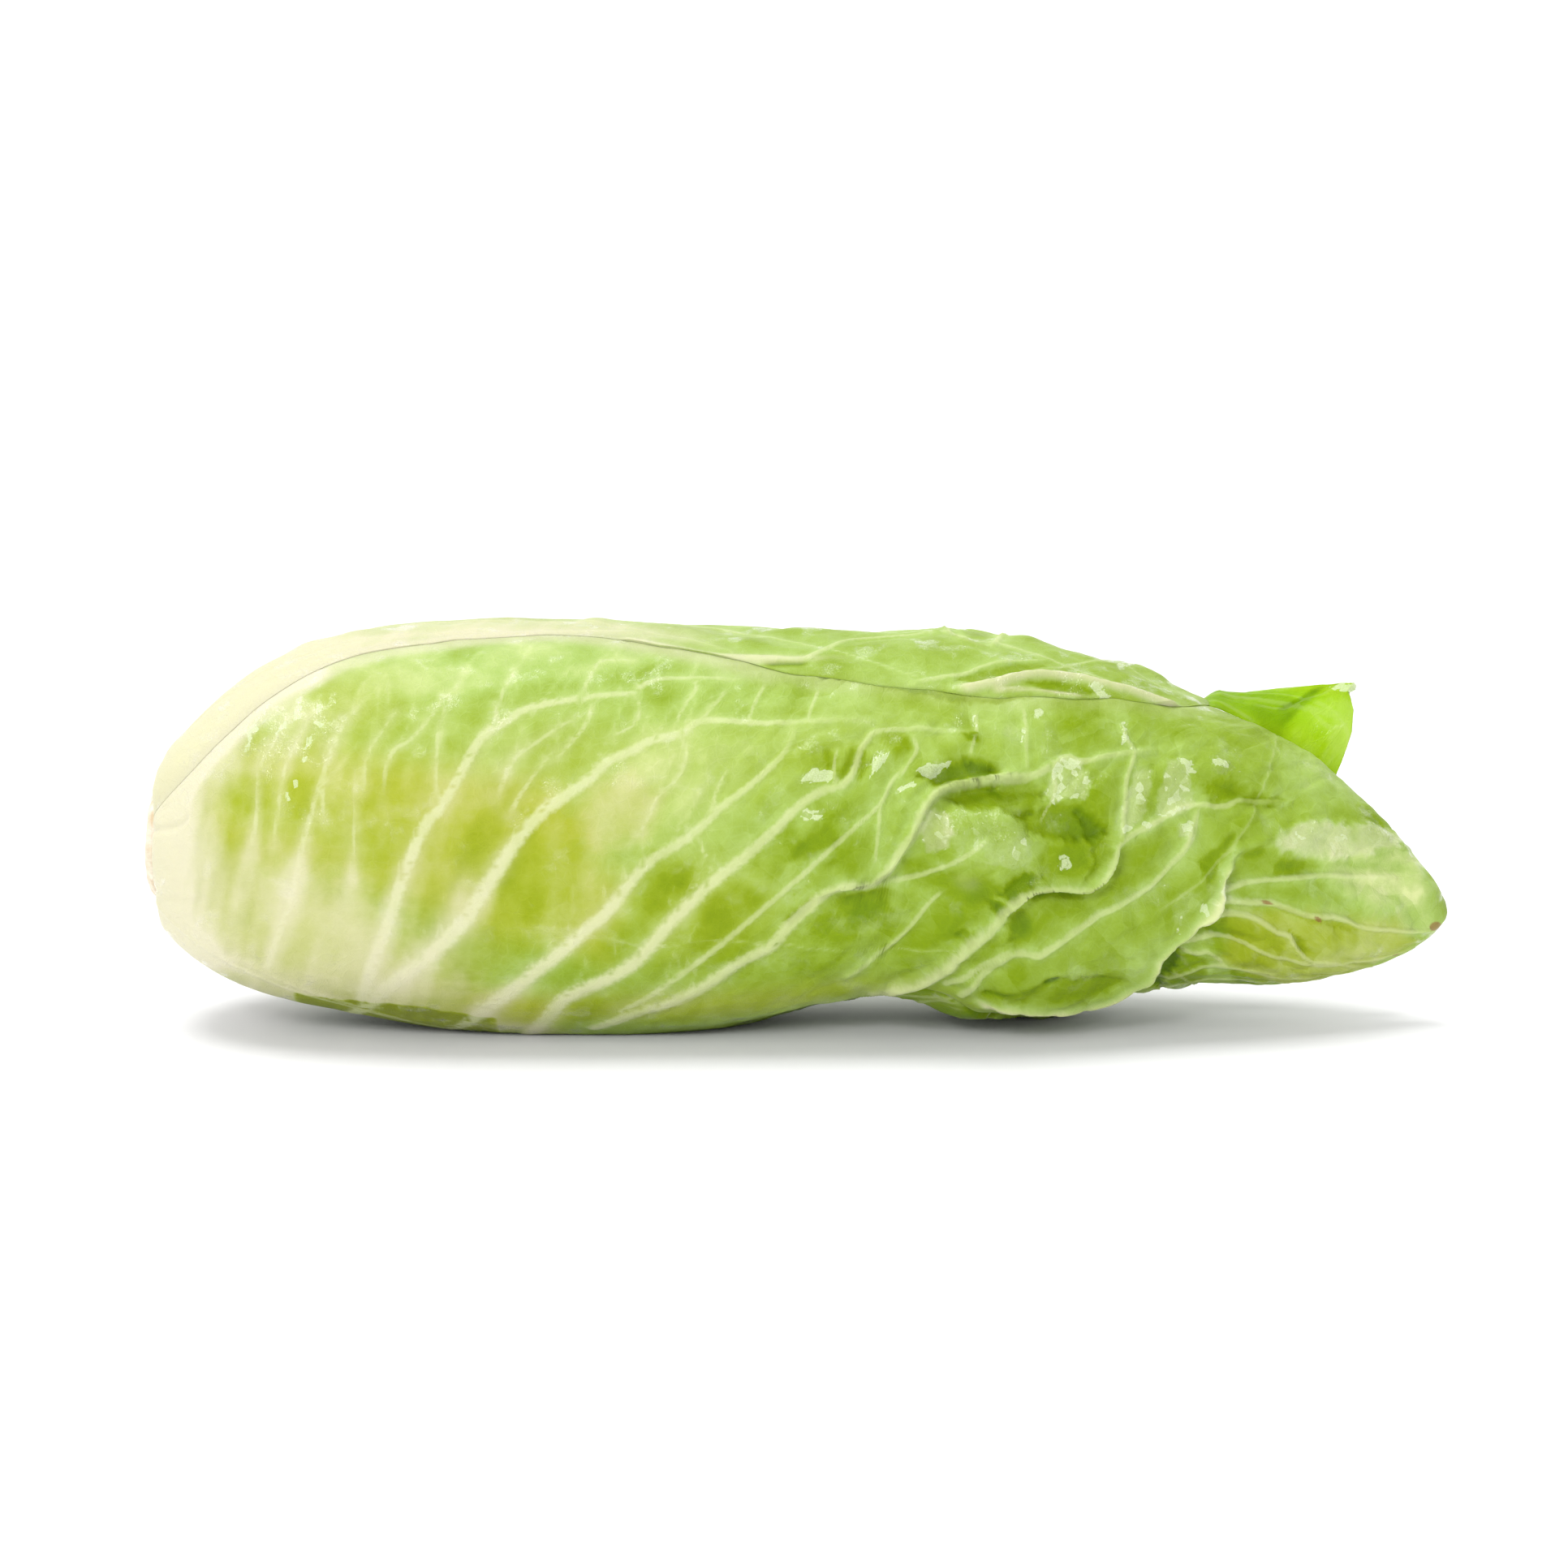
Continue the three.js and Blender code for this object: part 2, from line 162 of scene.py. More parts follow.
@dataclass
class HeadForm:
    """The closed form that the leaves follow, each at some depth under it.

    A station is a place along the head: a row number in outline, which may be fractional.
    """

    outline: Table = (
        (-156, 29.5, 58.5, 14.5), (-157, 24.5, 63.5, 19.5), (-153.5, 19.8, 69.8, 25),
        (-146.5, 14.6, 77.4, 31.4), (-137, 9.8, 85.5, 37.8), (-125, 6, 92, 43),
        (-108, 2.6, 96.6, 46.8), (-88, -1, 98.8, 48.6), (-66, -3, 99.4, 49),
        (-42, -3, 99.2, 48.6), (-18, -0.8, 98, 47.6), (4, 3.4, 96.8, 46.4), (24, 4.4, 96.6, 45.2),
        (43, -2, 96.8, 44), (60, -2, 94.4, 41.6), (76, 3.5, 89.5, 38), (90, 7.5, 83.5, 33.6),
        (103, 9.4, 78, 29.6), (114, 9.2, 73, 26), (125, 10, 67, 21.8),
        (135, 11.8, 58.5, 17.4), (144, 14.4, 50, 13), (152, 18, 41.2, 8.6),
        (157, 21.5, 35.5, 5.4), (160, 25, 30, 2),
    )  # x, lowest and highest point, half depth
    half_length: float = 160.0
    roundness: float = 2.15  # 2 is an ellipse, more is a little squarer
    axis_ends: tuple[float, float] = (-118.0, 128.0)  # the leaves close on this line
    fineness: int = 40  # steps that each station is cut into

    def __post_init__(self) -> None:
        """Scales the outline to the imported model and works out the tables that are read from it."""
        low, high = CAD_BOX
        scale = (high[0] - low[0]) / MM / (2 * self.half_length)
        table = spline(np.array(self.outline) * scale, self.fineness)
        self.last = len(self.outline) - 1
        self.station = np.linspace(0, self.last, len(table))
        self.x = table[:, 0]
        self.centre = (table[:, 1] + table[:, 2]) / 2
        self.half = (table[:, 2] - table[:, 1]) / 2
        self.depth = table[:, 3]
        self.radius = (self.half + self.depth) / 2
        steps = np.hypot(np.diff(self.x), np.diff(self.radius))
        self.run = np.concatenate([[0.0], np.cumsum(steps)])

    def read(self, table: Array, station: Array) -> Array:
        """Reads one of this form's tables at stations."""
        return np.interp(station, self.station, table)

    def station_at_x(self, x: float) -> float:
        """The station with this x, past the blunt end at the stem."""
        start = self.fineness
        return float(np.interp(x, self.x[start:], self.station[start:]))

    def station_at_run(self, run: Array) -> Array:
        """The stations at these distances along the surface."""
        return np.interp(run, self.run, self.station)

    def surface(self, station: Array, angle: Array) -> Array:
        """Points on the form.

        Args:
            station: Places along the head.
            angle: Degrees round the head, the same shape.

        Returns:
            The points, with a last axis of x, y and z.
        """
        c, s = np.cos(np.radians(angle)), np.sin(np.radians(angle))
        power = self.roundness
        reach = (np.abs(c) ** power + np.abs(s) ** power) ** (-1 / power)
        y = -self.read(self.depth, station) * reach * c
        z = self.read(self.centre, station) + self.read(self.half, station) * reach * s
        return np.stack([self.read(self.x, station), y, np.maximum(z, 0.0)], axis=-1)

    def way_in(self, station: Array, surface: Array) -> Array:
        """Measures the way from the surface to the axis.

        Args:
            station: Places along the head.
            surface: The points of the form there.

        Returns:
            A vector for each point.
        """
        x = self.read(self.x, station)
        share = np.maximum(0.0, (x - self.outline[0][0]) / (self.outline[-1][0] - self.outline[0][0]))
        start, end = self.axis_ends
        axis_x = start + (end - start) * share
        axis = np.stack([axis_x, np.zeros_like(x), self.read(self.centre, station)], axis=-1)
        return axis - surface

    def under(self, station: Array, angle: Array, depth: Array) -> Array:
        """Finds points under the form.

        Args:
            station: Places along the head.
            angle: Degrees round the head.
            depth: How deep each point lies, measured on the way in to the axis.

        Returns:
            The points, with a last axis of x, y and z.
        """
        surface = self.surface(station, angle)
        way = self.way_in(station, surface)
        return surface + way * (depth / np.linalg.norm(way, axis=-1))[..., None]


# ---- the front elevation


@dataclass
class Elevation:
    """A drawing board in front of the head, on which veins and folds are drawn in millimetres.

    Its first axis runs along the head and its second up from the lowest point, as the head is
    seen from the front and a little from above.
    """

    form: HeadForm
    tilt: float = 9.0  # degrees above level
    distance: float = 1073.0
    aim: tuple[float, float, float] = (-3.8, 0.0, 59.1)
    rise: float = 59.2  # where the aim point lies on the board's second axis
    seen: tuple[float, float] = (-84.0, 102.0)  # the angles round the head that face the board
    rows: int = 700
    columns: int = 280

    def __post_init__(self) -> None:
        """Casts a dense net of the form onto the board."""
        station = np.linspace(0, self.form.last, self.rows)[:, None]
        angle = np.linspace(*self.seen, self.columns)[None, :]
        self.station, self.angle = np.broadcast_arrays(station, angle)
        self.cast = self.board(self.form.surface(self.station, self.angle))

    def board(self, points: Array) -> Array:
        """Where points in space fall on the board.

        Args:
            points: Points, with a last axis of x, y and z.

        Returns:
            The places on the board, with a last axis of two.
        """
        c, s = math.cos(math.radians(self.tilt)), math.sin(math.radians(self.tilt))
        forward, up = np.array([0.0, c, -s]), np.array([0.0, s, c])
        offset = points - np.array(self.aim)
        scale = self.distance / (self.distance + offset @ forward)
        return np.stack([self.aim[0] + offset[..., 0] * scale, self.rise + (offset @ up) * scale], -1)

    def places(self, drawn: Places) -> Array:
        """Finds the stations and angles of places drawn on the board.

        Args:
            drawn: The places.

        Returns:
            One row for each place: its station and its angle.
        """
        flat = self.cast.reshape(-1, 2)
        found = [int(np.argmin(((flat - np.array(place)) ** 2).sum(-1))) for place in drawn]
        return np.stack([self.station.ravel()[found], self.angle.ravel()[found]], axis=-1)


# ---- what is drawn on a leaf


@dataclass(frozen=True)
class Vein:
    """A raised vein, from its thick end to its thin one."""

    route: Route
    width: float = 1.3  # half width at the thick end
    end_width: float = 0.5
    height: float = 0.5
    show: float = 1.0  # how plainly its line is coloured


@dataclass(frozen=True)
class Fold:
    """A fold line: a ridge, and the leaf standing higher on its left or its right."""

    route: Route
    ridge: float = 1.0
    half_width: float = 2.0
    # darker below 0; along creases this is painted shade
    tone: float = 0.0
    cream_and_painted_light: float = 0.0
    left: float = 0.0  # how far the leaf rises at the line, seen in the line's direction
    right: float = 0.0
    reach: float = 14.0  # how far the rise takes to die out
    fade: float = 12.0  # how far from each end the fold is full


@dataclass(frozen=True)
class Spot:
    """A soft patch: a bulge or dent, a tone, a pale or a wet place."""

    centre: tuple[float, float]
    radii: tuple[float, float]
    turn: float = 0.0
    height: float = 0.0
    # darker below 0; on undersides and under other leaves this is painted shade
    tone: float = 0.0
    cream_and_painted_light: float = 0.0
    wet: float = 0.0
    brown: float = 0.0
    warm: float = 0.0


@dataclass(frozen=True)
class Facet:
    """A plane of a crumpled leaf: an outlined area that lies higher or lower, or looks different."""

    route: Route  # its corners
    height: float = 0.0
    # darker below 0; in hollows this is painted shade
    tone: float = 0.0
    edge: float = 1.4  # how wide the change at the outline is
    # pale cream of the leaf; on wet places this is painted sheen
    cream_and_painted_light: float = 0.0
    wet: float = 0.0
    # how strongly a pale painted highlight is mixed into the colour; the coat shines there too
    glare: float = 0.0
    warm: float = 0.0


Mark = Vein | Fold | Spot | Facet


def pairs(route: Route) -> list[list[float]]:
    """The places that a route names."""
    return [[float(number) for number in place.split(",")] for place in route.split()]


def glint(route: Route, glare: float = 0.9, edge: float = 0.8) -> Facet:
    """A small wet place that throws the light back: a pale painted highlight in its colour, under a glossy
    coat.
    """
    return Facet(route, edge=edge, wet=1.0, glare=glare)


def pale_foot(route: Route, half_width: float, cream_and_painted_light: float, fade: float) -> Fold:
    """The broad pale foot of a side vein."""
    return Fold(route, 0.0, half_width, cream_and_painted_light=cream_and_painted_light, fade=fade)


# ---- the net of a leaf


class LeafNet:
    """The net of points that one leaf is worked out on, rows along it and columns across."""

    FAR = 40.0  # stands for a vein that is nowhere near, in half widths
    CLEAR = 30.0  # stands for a main vein that is nowhere near, in millimetres
    SEEN = ("vein_show", "tone", "cream_and_painted_light", "wet", "glare", "brown", "warm", "crinkle")  # read by the finish

    def __init__(self, form: HeadForm, stations: Array, margins: Array, columns: int) -> None:
        """Lays the net out.

        Args:
            form: The head's form.
            stations: The station of each row.
            margins: Lower, midrib and upper angle of each row.
            columns: How many columns there are.
        """
        self.form = form
        self.rows, self.columns = len(stations), columns
        low, middle, high = margins.T
        share = np.linspace(0, 1, columns)[None, :]
        self.angle = low[:, None] + (high - low)[:, None] * share
        self.station = np.broadcast_to(stations[:, None], self.angle.shape)
        self.row_run = form.read(form.run, stations)
        radius = form.read(form.radius, stations)
        self.run = np.broadcast_to(self.row_run[:, None], self.angle.shape)
        self.round = np.radians(self.angle) * radius[:, None]
        self.off_midrib = np.radians(self.angle - middle[:, None]) * radius[:, None]
        self.along = (self.run - self.run[0, 0]) / (self.run[-1, 0] - self.run[0, 0])
        self.margin = np.minimum(self.round - self.round[:, :1], self.round[:, -1:] - self.round)
        for name in ("relief", "patch", "vein_height", *self.SEEN):
            setattr(self, name, np.zeros_like(self.angle))
        self.vein_near = np.full(self.angle.shape, self.FAR)
        self.streaks = soft_noise(self.run - 0.25 * self.round, self.round / 7, 2.4, 77)
        self.ragged = soft_noise(self.run, self.round, 2.0, 78) + soft_noise(self.run, self.round, 0.9, 79)
        self.middle_round = np.radians(middle) * radius
        self.gap = np.full(self.angle.shape, self.CLEAR)  # mm to the nearest main vein

    def chart(self, places: Array) -> Array:
        """Turns stations and angles into distances.

        Args:
            places: One row for each place: its station and its angle.

        Returns:
            One row for each place: how far it is along the head and round it.
        """
        run = self.form.read(self.form.run, places[:, 0])
        radius = self.form.read(self.form.radius, places[:, 0])
        return np.stack([run, np.radians(places[:, 1]) * radius], axis=-1)

    def nearest(self, line: Array, reach: float) -> tuple[Array, ...] | None:
        """Measures the net against a line.

        Args:
            line: Points along the line, in chart distances.
            reach: How far from the line matters.

        Returns:
            Net indices near the line, their distance, their side (1 left, -1 right) and how far
            along the line they are in segments, or None if the line is nowhere near.
        """
        low, high = line.min(0) - reach, line.max(0) + reach
        rows = np.nonzero((self.row_run >= low[0]) & (self.row_run <= high[0]))[0]
        if not len(rows):
            return None
        first, last = rows[0], rows[-1] + 1
        block = self.round[first:last]
        inside = np.nonzero((block >= low[1]) & (block <= high[1]))
        index = (inside[0] + first) * self.columns + inside[1]
        if not len(index):
            return None
        place = np.stack([self.run.ravel()[index], self.round.ravel()[index]], axis=-1)
        start, span = line[:-1], np.diff(line, axis=0)
        square = np.maximum((span**2).sum(-1), 1e-9)
        offset = place[:, None] - start
        share = np.clip((offset * span).sum(-1) / square, 0, 1)
        apart = np.linalg.norm(offset - share[..., None] * span, axis=-1)
        best = apart.argmin(1)
        pick = np.arange(len(index)), best
        cross = span[best, 0] * offset[pick][:, 1] - span[best, 1] * offset[pick][:, 0]
        return index, apart[pick], np.where(cross >= 0, 1.0, -1.0), best + share[pick]

    def add_vein(self, line: Array, vein: Vein) -> None:
        """Writes a vein into the net where it is the nearest one.

        Args:
            line: Points along the vein, in chart distances.
            vein: Its widths, height and plainness.
        """
        width, end_width, main = vein.width, vein.end_width, vein.width > MAIN_VEIN
        found = self.nearest(line, 12.0 if main else 4.0)
        if found is None:
            return
        index, apart, _, at = found
        share = at / (len(line) - 1)
        half = np.maximum(width + (end_width - width) * share, 0.35)
        near = apart / half
        better = near < self.vein_near.ravel()[index]
        index, near, half, share = index[better], near[better], half[better], share[better]
        self.vein_near.ravel()[index] = near
        self.vein_height.ravel()[index] = vein.height * (half / width) ** 0.5
        fade = smoothstep(1 - share, 0.0, 0.12)
        if width < 0.9:
            fade = fade * smoothstep(share, 0.0, 0.15)
        self.vein_show.ravel()[index] = vein.show * fade * np.clip(0.2 + 0.5 * half, 0.0, 1.0)
        if main:
            self.gap.ravel()[found[0]] = np.minimum(self.gap.ravel()[found[0]], apart)

    def add_fold(self, line: Array, fold: Fold) -> None:
        """Raises the net along a fold line.

        Args:
            line: Points along the fold, in chart distances.
            fold: What the fold changes.
        """
        found = self.nearest(line, 3.0 * fold.reach)
        if found is None:
            return
        index, apart, side, at = found
        length = np.concatenate([[0], np.cumsum(np.linalg.norm(np.diff(line, axis=0), axis=-1))])
        here = np.interp(at, np.arange(len(line)), length)
        strength = smoothstep(np.minimum(here, length[-1] - here), -1e-6, fold.fade)
        ridge = fold.ridge * np.exp(-((apart / fold.half_width) ** 2))
        rise = np.where(side > 0, fold.left, fold.right)
        rise = rise * np.exp(-apart / fold.reach) * smoothstep(apart, 0.0, 1.2)
        self.relief.ravel()[index] += strength * (ridge + rise)
        band = strength * np.exp(-((apart / (1.3 * fold.half_width)) ** 2))
        self.tone.ravel()[index] += fold.tone * band
        self.cream_and_painted_light.ravel()[index] += fold.cream_and_painted_light * band

    def add_spot(self, centre: Array, spot: Spot) -> None:
        """Adds a soft patch to the net.

        Args:
            centre: Its middle, in chart distances.
            spot: What the patch changes.
        """
        c, s = math.cos(math.radians(spot.turn)), math.sin(math.radians(spot.turn))
        along, across = self.run - centre[0], self.round - centre[1]
        u = (along * c + across * s) / spot.radii[0]
        v = (across * c - along * s) / spot.radii[1]
        soft = np.exp(-((u * u + v * v) ** 1.3))
        self.relief += spot.height * soft
        self.patch += spot.tone * soft
        for name in ("cream_and_painted_light", "wet", "brown", "warm"):
            getattr(self, name)[:] += getattr(spot, name) * soft

    def add_facet(self, outline: Array, facet: Facet) -> None:
        """Adds an outlined area to the net.

        Args:
            outline: The corners, in chart distances.
            facet: What the area changes.
        """
        ring = np.concatenate([outline, outline[:1]])
        found = self.nearest(ring, max(facet.edge, 3.0))
        if found is None:
            return
        index, apart = found[0], found[1]
        x, y = self.run.ravel()[index][:, None], self.round.ravel()[index][:, None]
        (x0, y0), (x1, y1) = ring[:-1].T, ring[1:].T
        spans = (y0 > y) != (y1 > y)
        crossed = spans & (x < (x1 - x0) * (y - y0) / np.where(y1 == y0, 1e-9, y1 - y0) + x0)
        inward = np.where(crossed.sum(1) % 2 == 1, apart, -apart)
        inward = inward + 0.35 * min(facet.edge, 1.6) * self.ragged.ravel()[index]
        sharp = smoothstep(inward, -0.5 * facet.edge, 0.5 * facet.edge)
        soft = smoothstep(inward, -0.5 * max(facet.edge, 2.6), 0.5 * max(facet.edge, 2.6))
        self.relief.ravel()[index] += facet.height * soft
        for name in ("tone", "cream_and_painted_light", "wet", "glare", "warm"):
            getattr(self, name).ravel()[index] += getattr(facet, name) * sharp

    def lookup(self, values: Array, run: float, around: float) -> float | None:
        """Reads one value.

        Args:
            values: The values on the net.
            run: How far along the head the place is.
            around: How far round it.

        Returns:
            The value next to the place, or None where the place is off the leaf.
        """
        row = int(np.searchsorted(self.row_run, run))
        if row <= 1 or row >= self.rows - 1:
            return None
        low, high = self.round[row, 0], self.round[row, -1]
        share = (around - low) / (high - low)
        if not 0.01 < share < 0.99:
            return None
        return float(values[row, int(share * (self.columns - 1))])


@dataclass
class Branching:
    """Grows thin veins out of the main ones until they meet the next."""

    spacing: float = 10.0
    angle: float = 62.0  # degrees between a main vein and its branches
    wander: float = 6.0  # degrees that a branch may turn in one step
    step: float = 2.0
    longest: float = 26.0
    width: float = 0.4
    height: float = 0.15
    show: float = 0.3
    upright: float | None = None  # a heading that all branches share, in degrees up from along the head
    until: float = 1000.0  # how far along the head branches start

    def grow(self, net: LeafNet, mains: Sequence[Array], rng: np.random.Generator) -> list[Array]:
        """Grows the branches.

        Args:
            net: The leaf's net, with its main veins already in it.
            mains: The main veins, as points in chart distances.
            rng: The source of chance.

        Returns:
            The branches, as points in chart distances.
        """
        made = []
        for line in mains:
            steps = np.linalg.norm(np.diff(line, axis=0), axis=-1)
            length = np.concatenate([[0], np.cumsum(steps)])
            at = rng.uniform(0.3, 1.0) * self.spacing
            side = 1
            while at < length[-1]:
                i = min(int(np.searchsorted(length, at)), len(line) - 1)
                tangent = line[i] - line[i - 1]
                heading = math.atan2(tangent[1], tangent[0]) + side * math.radians(self.angle)
                if self.upright is not None:
                    heading = math.radians(self.upright)
                heading += math.radians(rng.normal(0, 7))
                branch = self.follow(net, line[i], heading, rng)
                if len(branch) > 2 and line[i][0] < self.until:
                    made.append(branch)
                side = -side
                at += self.spacing * rng.uniform(0.3, 0.8)
        return made

    def follow(self, net: LeafNet, start: Array, heading: float, rng: np.random.Generator) -> Array:
        """Walks one branch from its start until it meets a vein or the leaf's margin.

        Args:
            net: The leaf's net.
            start: Where the branch leaves its main vein, in chart distances.
            heading: The way it goes at first, in radians.
            rng: The source of chance.

        Returns:
            The branch's points.
        """
        points, place, walked = [start], start.copy(), 0.0
        limit = self.longest * rng.uniform(0.5, 1.0)
        while walked < limit:
            place = place + self.step * np.array([math.cos(heading), math.sin(heading)])
            walked += self.step
            gap = net.lookup(net.gap, place[0], place[1])
            if gap is None:
                break
            points.append(place)
            if walked > 2.5 * self.step and gap < 1.1:
                break
            heading += math.radians(rng.normal(0, self.wander))
        return np.array(points)


# ---- how deep the leaves lie


class DepthMap:
    """How deep the inside of the leaves laid so far is, over the whole head."""

    CELL = 0.75  # along the head
    COLUMNS = 480  # round it

    def __init__(self, form: HeadForm) -> None:
        """Starts with no leaf laid.

        Args:
            form: The head's form.
        """
        self.form = form
        self.rows = int(form.run[-1] / self.CELL) + 2
        self.values = np.zeros((self.rows, self.COLUMNS))

    def cells(self, run: Array, angle: Array) -> tuple[Array, Array]:
        """Fractional rows and columns of places on the head."""
        return run / self.CELL, (angle % 360.0) / 360.0 * self.COLUMNS

    def cover(self, net: LeafNet, inner: Array) -> None:
        """Writes a leaf into the map.

        Args:
            net: The leaf's net.
            inner: How deep its inner side lies.
        """
        fine_rows = np.linspace(0, net.rows - 1, max(net.rows, 2 * self.rows))[:, None]
        fine_columns = np.linspace(0, net.columns - 1, max(net.columns, 2 * self.COLUMNS))[None, :]
        at = np.broadcast_arrays(fine_rows, fine_columns)
        run, angle = resampled(net.run, *at), resampled(net.angle, *at)
        row, column = self.cells(run, angle)
        target = np.rint(row).astype(int), np.rint(column).astype(int) % self.COLUMNS
        np.maximum.at(self.values, target, resampled(inner, *at))

    def roof(self, net: LeafNet) -> Array:
        """How deep a leaf has to be to go under the leaves laid so far, 0 where nothing lies over it."""
        return self.eased(net, self.values, 1, 1)

    def shelter(self, net: LeafNet) -> Array:
        """How near the cover of the leaves laid so far is: 1 under it, 0 well clear of it."""
        covered = (self.values > 0).astype(float)
        return self.eased(net, covered, 8, 4)

    def eased(self, net: LeafNet, values: Array, spread: int, blur: int) -> Array:
        """Reads the map on a leaf's net, with soft slopes outside what is covered.

        Args:
            net: The leaf's net.
            values: The values on the map.
            spread: By how many cells the high values are spread.
            blur: By how many cells they are then blurred, twice.

        Returns:
            The value at each point of the net.
        """
        for axis in (0, 1):
            values = np.max([self.shifted(values, k, axis) for k in range(-spread, spread + 1)], 0)
        for axis in (0, 1, 0, 1):
            values = np.mean([self.shifted(values, k, axis) for k in range(-blur, blur + 1)], 0)
        row, column = self.cells(net.run, net.angle)
        wrapped = np.concatenate([values, values[:, :1]], axis=1)
        return resampled(wrapped, row, column)

    @staticmethod
    def shifted(values: Array, by: int, axis: int) -> Array:
        """Moves a map by some cells.

        Args:
            values: The map.
            by: How many cells.
            axis: 0 along the head, where the ends repeat, or 1 round it, where they wrap.

        Returns:
            The moved map.
        """
        if axis == 1:
            return np.roll(values, by, axis=1)
        rows = np.clip(np.arange(len(values)) + by, 0, len(values) - 1)
        return values[rows]


# ---- meshes


def cell_faces(rows: int, columns: int, first: int, inside: bool) -> list[tuple[int, ...]]:
    """Joins the points of a net in fours.

    Args:
        rows: How many rows of points there are.
        columns: How many columns.
        first: The number of the first point.
        inside: Whether the faces look inwards.

    Returns:
        The faces, as point numbers.
    """
    net = first + np.arange(rows * columns).reshape(rows, columns)
    a, b, c, d = net[:-1, :-1], net[1:, :-1], net[1:, 1:], net[:-1, 1:]
    corners = (a, d, c, b) if inside else (a, b, c, d)
    return [tuple(face) for face in np.stack(corners, -1).reshape(-1, 4).tolist()]


def edge_ring(rows: int, columns: int, first: int) -> list[int]:
    """Walks round the edge of a net.

    Args:
        rows: How many rows of points there are.
        columns: How many columns.
        first: The number of the first point.

    Returns:
        The point numbers, in order.
    """
    net = first + np.arange(rows * columns).reshape(rows, columns)
    sides = net[0], net[1:, -1], net[-1, -2::-1], net[-2:0:-1, 0]
    return np.concatenate(sides).tolist()


def closed_shell(outer: Array, inner: Array) -> tuple[Array, list[tuple[int, ...]], int]:
    """Joins two skins into one closed shell.

    Args:
        outer: The outer skin's points, rows by columns by 3.
        inner: The inner skin's points, on every so many rows and columns of the outer's.

    Returns:
        The points, outer ones first, the faces, and how many of the last ones are the rim.
    """
    start = outer.shape[0] * outer.shape[1]
    every = (outer.shape[0] - 1) // (inner.shape[0] - 1)
    faces = cell_faces(*outer.shape[:2], 0, False) + cell_faces(*inner.shape[:2], start, True)
    outside, inside = edge_ring(*outer.shape[:2], 0), edge_ring(*inner.shape[:2], start)
    for i, here in enumerate(inside):
        span = [outside[(i * every + k) % len(outside)] for k in range(every + 1)]
        faces.append((*span, inside[(i + 1) % len(inside)], here))
    return np.concatenate([outer.reshape(-1, 3), inner.reshape(-1, 3)]), faces, len(inside)


def linked(name: str, data: bpy.types.ID) -> bpy.types.Object:
    """Makes an object of some data and links it to the scene.

    Args:
        name: The object's name.
        data: Its mesh, light or camera.

    Returns:
        The object.
    """
    made = bpy.data.objects.new(name, data)
    bpy.context.scene.collection.objects.link(made)
    return made


def mesh_object(name: str, points: Array, faces: list[tuple[int, ...]], flat: int = 0) -> bpy.types.Object:
    """Makes a smooth-shaded object.

    Args:
        name: The object's name.
        points: Its points in millimetres, one row each.
        faces: Its faces, as point numbers.
        flat: How many of the last faces are shaded flat.

    Returns:
        The object, linked to the scene.
    """
    mesh = bpy.data.meshes.new(name)
    mesh.from_pydata((points * MM).tolist(), [], faces)
    mesh.polygons.foreach_set("use_smooth", [True] * (len(faces) - flat) + [False] * flat)
    mesh.update()
    return linked(name, mesh)


def add_values(made: bpy.types.Object, name: str, values: Array) -> None:
    """Stores one number for each point of an object's mesh."""
    layer = made.data.attributes.new(name, "FLOAT", "POINT")
    layer.data.foreach_set("value", values.astype(np.float32).ravel())


def add_map(made: bpy.types.Object, name: str, places: Array) -> None:
    """Stores a UV map on an object's mesh.

    Args:
        made: The object.
        name: The map's name.
        places: The place on the map of each point.
    """
    layer = made.data.uv_layers.new(name=name)
    corners = np.empty(len(made.data.loops), dtype=np.int32)
    made.data.loops.foreach_get("vertex_index", corners)
    layer.data.foreach_set("uv", places[corners].astype(np.float32).ravel())


# ---- finishes


def linear(code: int) -> tuple[float, float, float, float]:
    """Turns a hex colour into the linear values that nodes take."""
    parts = [((code >> shift) & 255) / 255 for shift in (16, 8, 0)]
    return (*[v / 12.92 if v <= 0.04045 else ((v + 0.055) / 1.055) ** 2.4 for v in parts], 1.0)


